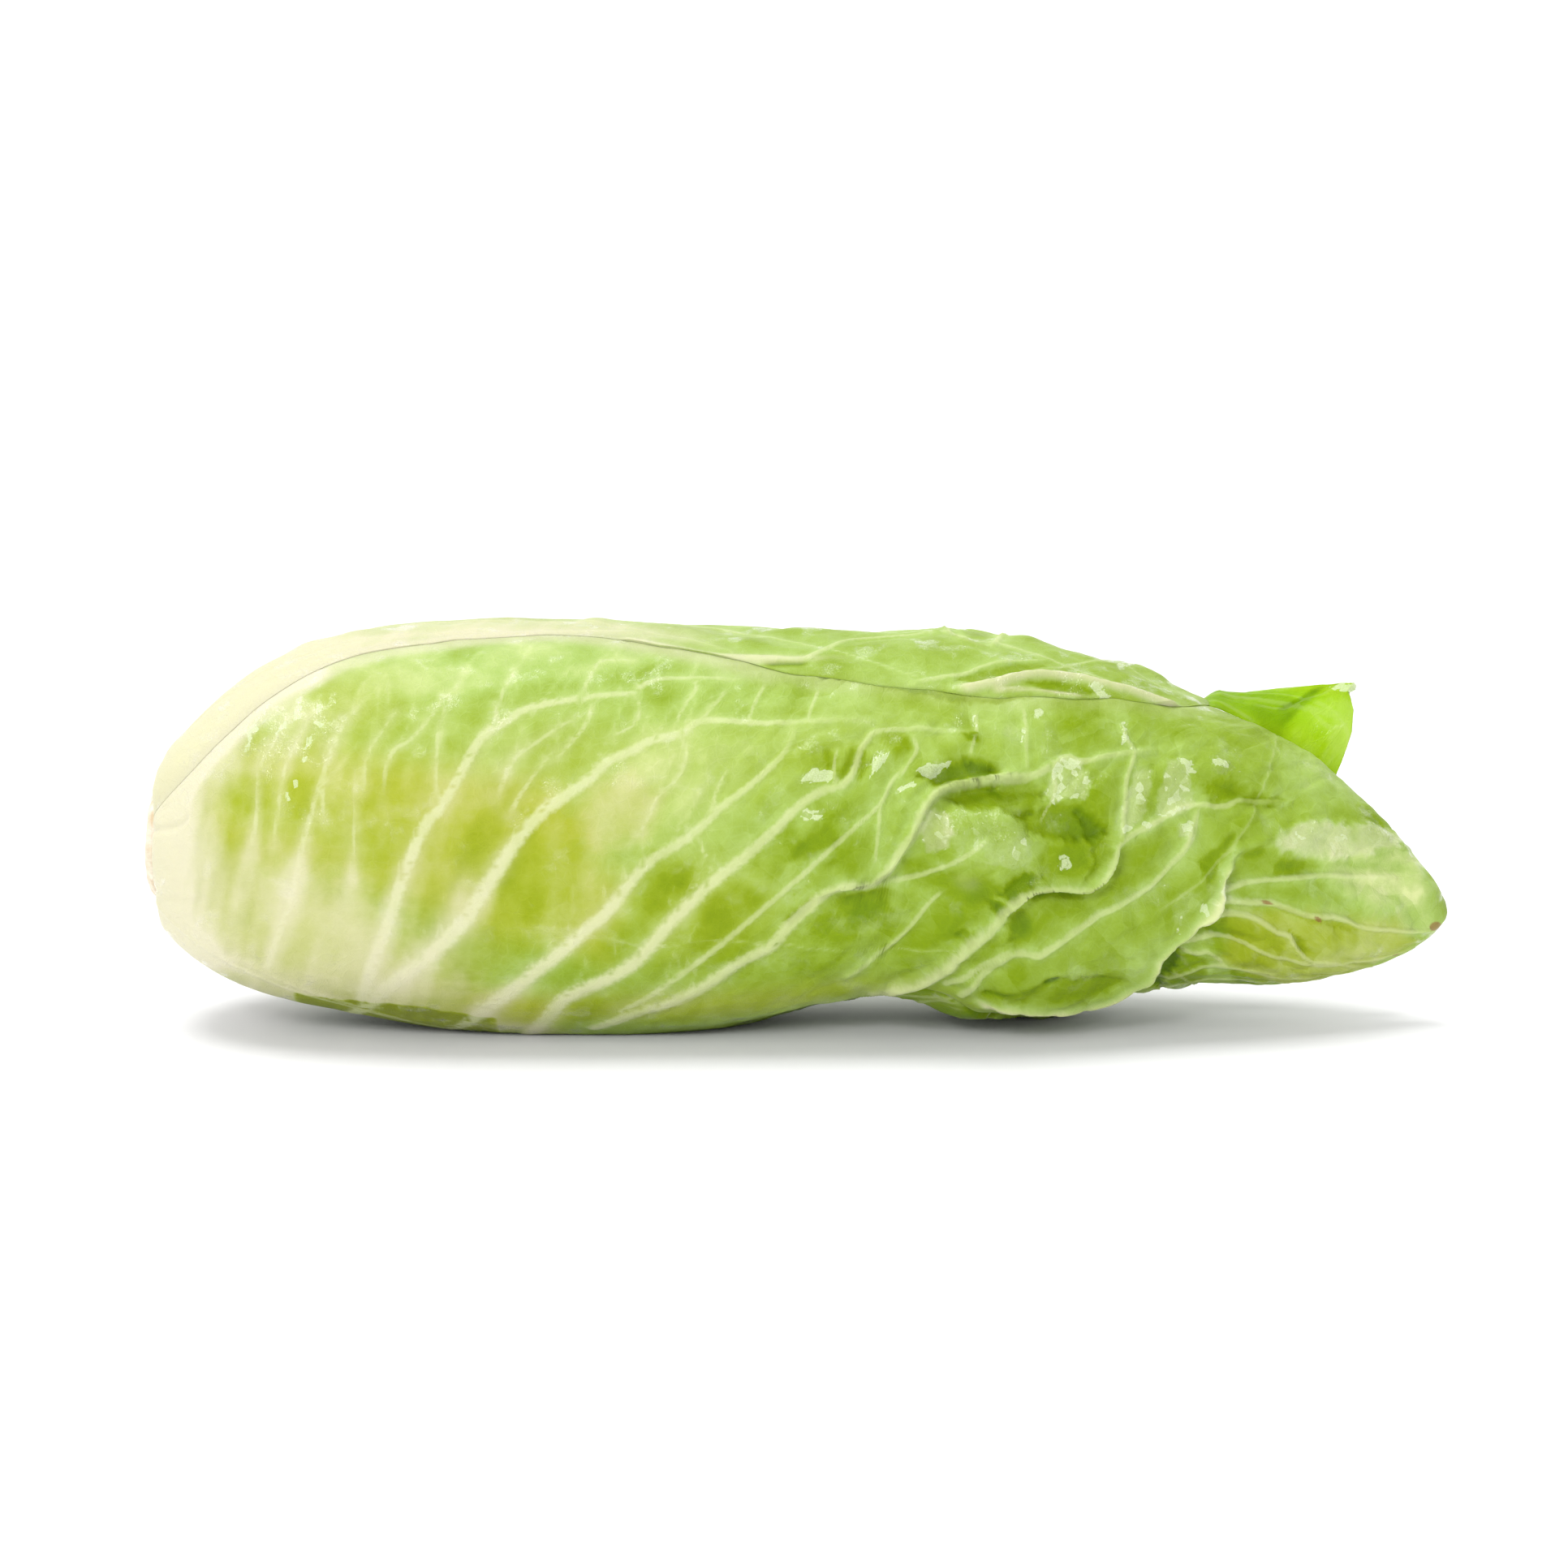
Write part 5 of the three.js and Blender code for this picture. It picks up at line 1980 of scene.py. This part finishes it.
    glint("79.2,75 81,74.6 81.6,69 80,68.6", 0.8),
    glint("65,65 69.6,64 70,62.6 66,63.6", 1.0),
    glint("58.4,77.6 60,77.6 59.6,75 58.2,75.6", 0.6),
    glint("42.6,77 43.4,76.6 44,73 43,73", 0.9, 0.7),
    glint("93.6,66 95.6,65 98,62 95.4,62.4"),
    Facet("101,65 103,65.2 108,62 104,61.4 101,62.6", 0, 0, 1, cream_and_painted_light=0.15, glare=0.35, wet=1.0),
    Facet("92,26 94.4,26.6 95,23.4 92.4,22.6", 0, 0, 1, cream_and_painted_light=0.15, glare=0.4),
    Facet("99.4,29.4 100.4,29 100.6,27 99.4,27", 0, 0, 0.7, glare=1.0),
    Facet("103.6,33 107.4,39 109.2,38.6 108,33 105,29.8", 0, 0, 1.2, cream_and_painted_light=0.25, glare=0.25),
    Facet("116,44 118.6,47.6 124,50 135,49.4 146,47 150,43 140,41.4 128,41 120,42", 0.6, 0.4, 3, cream_and_painted_light=0.38,
        glare=0.06, wet=0.6),
    Facet("128,41 132,33 142,29 152,31 154,40 146,45", 0, 0.5, 7),
    glint("121,47.6 123.6,45.6 122.6,45.2", 1.0, 0.6),
    glint("132.6,47 135,45.4 134,45", 1.0, 0.6),
    Facet("148,33 157,35 159,30 158,23 150,22 146,28", 0, 0.2, 3, cream_and_painted_light=0.1),
    Facet("-142,62 -138,73 -124,80 -112,76 -114,64 -128,60", 0, 0, 3, wet=0.3, cream_and_painted_light=0.1),
    glint("-141,70.6 -138,72.6 -134.6,73 -136,70.8", 0.75, 0.9),
    glint("-136.8,66 -136,71 -134.8,71 -135.4,66"),
    glint("-135.6,72.6 -132,78.6 -131,78.6 -134,72", 0.8),
    glint("-124,75 -123.4,81 -122.6,80.6 -122.8,75", 1.0, 0.7),
    glint("-119,73 -118.4,79.4 -117.4,79 -117.6,73"),
    glint("-116,78 -115.4,81 -114.4,80.6 -115,78", 0.9, 0.7),
    glint("-122,65 -120.6,71 -119.6,70.6 -121,65"),
    Facet("-126,55.4 -124.6,60 -123.8,59.6 -125,55", 0, 0, 0.8, glare=0.8),
    Facet("-129,71 -127,74 -126.4,73 -128,71", 0, 0, 0.7, glare=0.9),
    # Where it is pale, yellower, lighter or darker; the darker bottom strip, lower right and band under the
    # top leaf's edge are painted shade.
    Facet("-170,84 -152,68 -148,58 -146,50 -136,42 -120,39 -106,33 -94,17 -82,9 -64,4 -60,-8 -170,-8", 0, 0,
        20, cream_and_painted_light=0.46, warm=0.9),
    Spot((-120, 0), (46, 20), 12, cream_and_painted_light=0.28, warm=0.45),
    Spot((-147, 17), (11, 10), cream_and_painted_light=0.5, warm=0.4),
    Spot((-135, 9), (12, 10), cream_and_painted_light=0.45, warm=0.4),
    # Painted shade: the dark strip along the bottom edge.
    Facet("-124,8 -113,5.8 -103,5.1 -95,4.5 -87,3 -76,1.4 -74,-2 -86,-2 -98,-2 -110,-1 -122,2", 0, -1.1, 1,
        warm=0.4, cream_and_painted_light=-0.6),
    Facet("-100,40 -88,44 -76,30 -70,16 -84,10 -98,24", 0, 0, 12, cream_and_painted_light=0.2, warm=0.3),
    pale_foot("-158,50 -153,58 -148,66 -142,72 -134,79 -126,84 -114,88", 2.8, 0.85, 8),
    Spot((-158, 45), (17, 50), cream_and_painted_light=0.5),
    Facet("-151,70 -148,61 -147,50 -138,41 -118,38 -96,30 -70,20 -48,16 -44,34 -60,58 -90,64 -128,68", 0, 0,
        12, warm=0.7),
    Facet("-148,62 -140,63 -139,55 -146,52", 0, -0.25, 3),
    Facet("-137,62 -130,62 -130,53 -136,52", 0, -0.25, 3),
    Facet("-126,61 -119,60 -120,50 -126,51", 0, -0.25, 3),
    Facet("-107,63 -97,64 -98,54 -108,52", 0, -0.3, 3),
    Facet("-86,70 -79,68 -74,60 -82,55 -88,62", 0, -0.22, 2.6),
    Facet("-82,48 -73,60 -68,58 -64,48 -70,34 -80,30 -86,34", 0, -0.3, 4),
    Facet("-70,46 -61,54 -52,50 -54,32 -66,25 -76,27", 0, -0.28, 4),
    Facet("-42,33 -37,43 -28,40 -25,34 -31,28 -39,27", 0, -0.32, 6),
    Facet("-35,37 -30,37 -28,34 -33,32", 0, -0.12, 2),
    Facet("-24,32 -14,35 -6,31 -15,21 -25,18", 0, -0.35, 6),
    Facet("-52,58 -42,62 -34,56 -38,46 -50,42 -56,48", 0, 0.2, 7, cream_and_painted_light=0.16, warm=0.45),
    Spot((-28, 28), (24, 16), warm=0.35),
    Spot((-40, 4), (70, 7), warm=0.6, tone=-0.15, cream_and_painted_light=0.12),
    Facet("-142,74 -122,88 -90,94 -50,95 -30,90 -60,84 -100,80 -128,73", 0, 0.28, 5),
    Spot((-28, 62), (66, 12), 10, tone=0.26, warm=0.15),
    Spot((-62, 32), (14, 12), tone=0.12),
    Spot((-108, 50), (14, 8), tone=-0.2),
    Spot((62, 76), (30, 6), tone=-0.14),
    Spot((4, 20), (24, 10), 10, tone=-0.2),
    Spot((50, 20), (20, 12), 30, tone=-0.34),
    Spot((48, 14), (14, 6), 15, tone=-0.3),
    Spot((84, 54), (15, 22), tone=-0.2),
    Spot((41, 35), (5, 3), cream_and_painted_light=0.25),
    Spot((-16, 16), (12, 6), 25, tone=-0.25),
    Spot((-75, 62), (50, 18), warm=0.3, tone=0.14),
    Spot((-118, 78), (24, 13), 20, warm=0.45, cream_and_painted_light=0.13, tone=0.14),
    Spot((-141, 64), (7, 9), cream_and_painted_light=0.4),
    Spot((-76, 55), (11, 26), -20, cream_and_painted_light=0.12, tone=0.1),
    Spot((-78, 3), (36, 7), cream_and_painted_light=-0.4, tone=-0.2),
    Spot((-78, 70), (44, 12), 6, tone=0.13, cream_and_painted_light=0.05),
    Spot((60, 30), (70, 34), tone=-0.12),
    Spot((86, 19), (9, 8), 40, tone=0.35),
    Spot((126, 18), (14, 6), 10, tone=0.25),
    Facet("104,15 107,26 118,28 132,26 148,26 152,20 138,13 120,10", 0, -0.02, 6, warm=0.6),
    # Painted shade at the foot of the fold near the tip.
    Facet("91.6,9 93.6,15 97.6,16.6 101,14 99,9", 0, -0.6, 2),
    Spot((157, 24), (2.4, 1.5), brown=1.0),
    Spot((147, 17), (1.6, 0.8), 15, brown=0.8),
    Spot((127.4, 26), (2.2, 0.6), -20, brown=0.8),
    Spot((116, 29.6), (2, 0.6), brown=0.7),
    # Creases that the leaf's base is drawn in.
    Fold("-158,60 -152,65 -145,70 -139,73", 0.7, 1.3, left=-0.6, fade=3.0),
    Fold("-158,54 -153,58 -147,62", 0.6, 1, right=-0.5, fade=3.0),
    Fold("-159,48 -154,49 -150,52", -0.5, 0.9, fade=2.0),
    Fold("-158,34 -152,31 -146,32", -0.4, 1.1, fade=2.0),
)

TOP_MARKS: tuple[Mark, ...] = (
    Vein("-120,89 -95,94 -72,96.5 -40,97", 1.8, 0.8, 0.3),
    Vein("-42,95 -30,92.5 -20,91 -8,90.5 2,90", 1.4, 1.1, 0.5),
    # Painted shade in the hollow under this vein.
    Fold("-10,89.2 -5,88.9 3,89.1", -0.3, 0.8, tone=-1.1, fade=3.0),
    Vein("2,90 5,92 9,93.5 14,95 22,95.6 34,96.4", 1.1, 0.7, 0.9),
    Fold("35,97.5 39,95 44,93.4 48,93.4", 0.6, 0.8, left=-0.6, reach=5.0, fade=3.0, cream_and_painted_light=0.3),
    Vein("47.5,93.4 50,96 52,98", 0.7, 0.5, 0.8),
    # A hollow, darkened as painted shade.
    Facet("38,97 42,98 48,97 47,94.4 43,94.6", -0.5, -0.25, 3),
    Vein("28,84 36,85.5 42,87 46,88.8 53,90 62,90.5", 0.8, 0.4, 0.7),
    Vein("62,88 70,89.5 80,88", 0.5, 0.35, 0.4),
    Fold("36,82.4 46,83.6 57,86 66.5,85.6 73.4,84.2 80.3,82.4 87.2,80.2 94,78 100,75.6", 1.5, 1.4, cream_and_painted_light=0.7,
        tone=0.35, left=-0.6, reach=6.0, fade=6.0),
    Fold("46,82 54,82.6 62,82.2 72,80.6", 0.4, 0.7, cream_and_painted_light=0.45, fade=4.0),
    # Hollows, darkened as painted shade.
    Facet("38,85.2 46,87.6 54,89.4 60,89.2 55,87 46,84.8", -0.5, -0.35),
    Facet("56,84.4 64,84.6 74,82 70,81 60,82.6", -0.4, -0.45, 1.2),
    # Painted highlights on wet places.
    glint("71,83.6 73,84 77.6,80.8 75,80", 1.0),
    glint("78,88.4 81,88.6 81.6,87.4 79,87.4", 0.8),
    Spot((-155, 68), (22, 20), cream_and_painted_light=0.9),
    Spot((-128, 84), (30, 26), cream_and_painted_light=0.75),
    Spot((-90, 96), (40, 26), cream_and_painted_light=0.62),
    Spot((-50, 97), (40, 14), cream_and_painted_light=0.4),
    Spot((-8, 90), (22, 2.4), cream_and_painted_light=0.4),
    Spot((78, 84), (44, 12), tone=-0.22, wet=0.3),
    Spot((22, 88), (34, 6), tone=-0.14),
    Spot((-121, 94.5), (5, 4), height=0.7),
    Spot((-109, 96.5), (5, 4), height=0.6),
    Spot((-74, 99.6), (9, 4), height=0.7),
    Spot((-49.5, 99), (4, 4), height=1.0),
    Spot((-17, 97), (8, 4), height=-0.6),
    Spot((1, 96.6), (7, 4), height=1.0),
    Spot((34, 96.8), (8, 4), height=0.7),
    Spot((54, 95.4), (6, 4), height=0.8),
    Spot((84, 87.6), (9, 5), height=1.8),
)

RAISED_MARKS: tuple[Mark, ...] = (
    # Painted shade along the crease.
    Fold("118,0.06 121,0.4 124,0.7 127,0.97", 0.4, 1, tone=-0.5, right=0.9, reach=6.0, fade=3.0),
    Vein("112,0.3 118,0.35 123,0.62 129,0.9", 0.5, 0.35, 0.2),
    Vein("122,0.5 127,0.3 131,0.42", 0.45, 0.3, 0.2),
    Facet("98,-0.1 98,0.9 106,0.8 115,0.75 122,0.6 118,0", 0, -0.42, 4),
    Facet("121,0 124,0.55 128,0.98 135,1 135,0", 0, 0.05, 1.6),
    # Painted shade along the crease.
    Fold("117.5,0.3 121,0.52 124,0.76 127,0.96", -0.5, 0.7, tone=-0.5, left=0.5, reach=4.0, fade=2.0),
    Vein("110,0.62 118,0.66 124,0.6", 0.5, 0.35, 0.3),
    Vein("124,0.6 129,0.45 133,0.2", 0.5, 0.3, 0.3),
    # Painted highlight on a wet place.
    Facet("127,0.9 129,1 133,0.92 131,0.84", 0.4, 0, 1, glare=0.9, wet=1.0),
    Facet("127,0.7 134,0.8 134,0.1 128,0.05", 0, 0.2, 3, cream_and_painted_light=0.2),
)

LOWER_MARKS: tuple[Mark, ...] = (
    Vein("24,2 32,5 40,4 48,3", 0.9, 0.5, 0.5),
    Spot((12, 3), (20, 12), height=-1.6),
    # Painted shade where this leaf shows under the head.
    Spot((36, 4), (20, 10), tone=-0.5),
    Spot((-100, 3), (40, 8), tone=-0.5, warm=0.4, cream_and_painted_light=0.1),
    Spot((60, -2), (22, 14), height=-2.0),
)

BACK_MARKS: tuple[Mark, ...] = (
    Spot((46, -1), (24, 24), height=-3.0),
    Spot((12, 3), (20, 14), height=-2.4),
    # Painted shade where this leaf shows under the head.
    Spot((36, 3), (24, 10), tone=-0.35),
)


def wrapper_leaves() -> list[Leaf]:
    """The five wrapper leaves, outermost first.

    Returns:
        The leaves.
    """
    pale = LeafFinish("leaf_pale", GREENS, level=0.62, cream_and_painted_light=0xD6D3AC)
    mid = LeafFinish("leaf_mid", GREENS, level=0.58)
    # Set darker than the other wrappers' finish, as painted shade for the leaf that lies under the head.
    green = LeafFinish("leaf_green", GREENS, level=0.4)
    raised = LeafFinish(
        "leaf_raised", FRESH_GREENS, level=0.48, vein_strength=0.22, net=0.0, coat=0.3, shine=0.04
    )
    return [
        Leaf(
            "top_wrapper_leaf", Slot.OUTER, pale,
            ((-157, 30, 96, 150), (-137, 47, 98, 154), (-125, 57, 100, 158), (-108, 66, 104, 168),
             (-66, 74, 112, 190), (-42, 71, 118, 196), (-18, 63, 122, 202), (24, 51, 128, 206),
             (43, 48, 128, 204), (60, 52, 126, 200), (76, 58, 120, 184), (90, 66, 112, 162),
             (102, 78, 104, 136)),
            rows=331, columns=151, drawn=TOP_MARKS, bulge=2.0, fan=VeinFan(pairs=5, height=0.25, width=0.8),
            branching=None, seed=3,
        ),
        Leaf(
            "front_wrapper_leaf", Slot.OUTER, mid,
            ((-157, -78, -34, 78), (-137, -76, -42, 82), (-108, -75, -54, 88), (-88, -81, -64, 92),
             (-66, -92, -78, 96), (-42, -104, -88, 98), (-18, -112, -93, 98), (8, -108, -90, 97),
             (17, -80, -89, 97), (23, -54, -88, 96), (33, -48, -82, 94), (41, -52, -77, 93),
             (50, -66, -74, 92), (60, -82, -70, 90), (76, -104, -66, 88), (90, -116, -42, 88),
             (103, -110, -16, 90), (125, -104, -12, 92), (144, -98, -8, 92), (160, -90, -4, 88)),
            rows=400, columns=199, drawn=FRONT_MARKS, bulge=6.0, seam_light=0.55,
            fan=VeinFan(pairs=9, sides=(-1,), midrib=False),
            branching=Branching(spacing=12.0, upright=74.0, longest=14.0, show=0.28, until=150.0), denser=0.8,
            blotch=(0.45, 0.35), crumple=(0.1, 1.6), pale_base=(-160.0, -134.0), pillow=(0.3, 1.4),
            gain=(0.7, 1.7), tip_round=0.0, seed=5,
        ),
        Leaf(
            "back_wrapper_leaf", Slot.OUTER, mid,
            ((-157, 140, 200, 252), (-125, 132, 202, 266), (-88, 120, 204, 282), (-42, 108, 206, 294),
             (24, 106, 208, 296), (60, 112, 208, 292), (90, 134, 210, 284), (103, 162, 212, 276),
             (114, 172, 214, 268), (135, 174, 214, 262), (152, 184, 214, 244)),
            rows=271, columns=139, drawn=BACK_MARKS, bulge=1.5, seed=7,
        ),
        RaisedLeaf(
            "raised_tip_leaf", Slot.OUTER, raised,
            ((-157, 62, 118, 172), (-108, 48, 120, 190), (-66, 34, 122, 206), (24, 22, 126, 222),
             (60, 24, 128, 220), (76, 40, 128, 208), (90, 72, 118, 170), (103, 93, 112, 138),
             (114, 92, 110, 134), (125, 92, 108, 130), (132, 92, 107, 128)),
            rows=300, drawn=RAISED_MARKS, fan=VeinFan(pairs=2, last=0.2), branching=None, tip_round=0.0,
            seed=9,
        ),
        Leaf(
            "lower_wrapper_leaf", Slot.OUTER, green,
            ((-157, -142, -88, -34), (-108, -150, -90, -30), (-66, -164, -92, -20), (24, -184, -94, -8),
             (76, -180, -96, -14), (103, -160, -98, -38), (125, -134, -100, -68), (133, -116, -102, -88)),
            drawn=LOWER_MARKS, pale_base=(-135.0, -118.0), seed=11,
        ),
    ]


def spiral_leaves(inner: int = 6, heart: int = 7) -> list[SpiralLeaf]:
    """The leaves inside the wrappers: full ones, then the heart's.

    Args:
        inner: How many full leaves there are.
        heart: How many heart leaves there are.

    Returns:
        The leaves, outermost first.
    """
    inner_finish = LeafFinish("leaf_inner", GREENS, level=0.68)
    heart_finish = LeafFinish("leaf_heart", HEART_GREENS, level=0.5, vein_strength=0.4)
    made = []
    for order in range(inner + heart):
        in_heart = order >= inner
        share = order / (inner + heart - 1)
        made.append(
            SpiralLeaf(
                f"heart_leaf_{order - inner + 1}" if in_heart else f"inner_leaf_{order + 1}",
                Slot.HEART if in_heart else Slot.INNER,
                heart_finish if in_heart else inner_finish,
                rows=121 if in_heart else 181,
                columns=61 if in_heart else 91,
                branching=None,
                rib=0.75 - 0.63 * share,
                swell=0.5 - 0.3 * share,
                pillow=(0.3, 0.5),
                tip_round=10.0,
                seed=20 + order,
                order=order,
                total=inner + heart,
            )
        )
    return made


# ---- the studio


@dataclass
class Studio:
    """The floor, the light and the camera."""

    floor_size: float = 6.0
    wall_place: float = 2.4
    wall_height: float = 5.0
    lens: float = 100.0
    elevation: float = 9.0
    distance: float = 1.073
    aim: tuple[float, float, float] = (-0.0038, 0.0, 0.0591)

    def build(self) -> None:
        """Sets the stage."""
        self.floor()
        self.backdrop()
        self.world()
        self.softbox("softbox_top", (0.2, -0.08, -1.0), 2.0, 35.0)
        self.softbox("softbox_front", (0.5, 0.75, -0.5), 0.6, 45.0)
        self.lamp("glint_left", (-0.35, -1.2, 0.66), 0.3, 4.5)
        self.lamp("glint_right", (0.45, -1.1, 0.6), 0.12, 1.5)
        self.camera()
        bpy.context.scene.view_settings.view_transform = "Standard"

    def floor(self) -> None:
        """Lays the pale floor."""
        half = self.floor_size / 2
        corners = [(-half, -half, 0), (half, -half, 0), (half, half, 0), (-half, half, 0)]
        look = {"Base Color": (0.93, 0.93, 0.93, 1), "Roughness": 0.9, "Specular IOR Level": 0.1}
        self.sheet("floor", corners, look)

    def backdrop(self) -> None:
        """Hangs a bright white wall far behind the object."""
        half, back, bottom, top = self.floor_size, self.wall_place, -0.1, self.wall_height
        corners = [(-half, back, bottom), (half, back, bottom), (half, back, top), (-half, back, top)]
        white = {"Base Color": (0, 0, 0, 1), "Emission Color": (1, 1, 1, 1), "Emission Strength": 1.15}
        self.sheet("backdrop", corners, white)

    def sheet(self, name: str, corners: Sequence[tuple[float, ...]], look: dict) -> None:
        """Adds one flat face to the stage.

        Args:
            name: What it is called.
            corners: Its four corners, in metres.
            look: Its shader's inputs.
        """
        mesh = bpy.data.meshes.new(name)
        mesh.from_pydata(corners, [], [(0, 1, 2, 3)])
        material, g = new_material(f"{name}_white")
        g.surface(look)
        mesh.materials.append(material)
        linked(name, mesh)

    def world(self) -> None:
        """Lights the scene evenly from all round."""
        world = bpy.data.worlds.new("studio_air")
        world.use_nodes = True
        background = world.node_tree.nodes["Background"]
        background.inputs["Color"].default_value = (1.0, 1.0, 1.0, 1)
        background.inputs["Strength"].default_value = 0.42
        bpy.context.scene.world = world

    def softbox(self, name: str, way: tuple[float, float, float], energy: float, spread: float) -> None:
        """Adds a broad soft light from far away.

        Args:
            name: The light's name.
            way: The way that its light goes.
            energy: Its strength.
            spread: How broad it looks, in degrees.
        """
        lamp = bpy.data.lights.new(name, "SUN")
        lamp.energy = energy
        lamp.angle = math.radians(spread)
        self.turn(linked(name, lamp), Vector(way))

    def lamp(self, name: str, place: tuple[float, float, float], size: float, watts: float) -> None:
        """Hangs a small square lamp that points at the object and glints on what is wet.

        Args:
            name: The lamp's name.
            place: Where it hangs.
            size: How wide it is.
            watts: Its strength.
        """
        lamp = bpy.data.lights.new(name, "AREA")
        lamp.size = size
        lamp.energy = watts
        made = linked(name, lamp)
        made.location = place
        self.turn(made, Vector(self.aim) - Vector(place))

    def camera(self) -> None:
        """Puts the camera level with the object's front and a little above."""
        camera = bpy.data.cameras.new("camera")
        camera.lens = self.lens
        made = linked("camera", camera)
        tilt = math.radians(self.elevation)
        back = Vector((0.0, -math.cos(tilt), math.sin(tilt)))
        made.location = Vector(self.aim) + back * self.distance
        self.turn(made, -back)
        bpy.context.scene.camera = made

    @staticmethod
    def turn(made: bpy.types.Object, way: Vector) -> None:
        """Turns a light or a camera to look this way."""
        made.rotation_euler = way.to_track_quat("-Z", "Y").to_euler()


def main() -> None:
    """Builds the head and the studio."""
    logging.basicConfig(level=logging.INFO, format="%(message)s")
    form = HeadForm()
    board = Elevation(form)
    depths = DepthMap(form)
    effects = {"veins": vein_effect(), "flesh": flesh_effect(), "wet": wet_effect()}
    for leaf in (*wrapper_leaves(), *spiral_leaves()):
        made = leaf.lay(form, board, depths, effects)
        log.info("%s: %d faces", made.name, len(made.data.polygons))
    made = Stem().lay()
    log.info("%s: %d faces", made.name, len(made.data.polygons))
    Studio().build()
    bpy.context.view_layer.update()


if __name__ == "__main__":
    main()
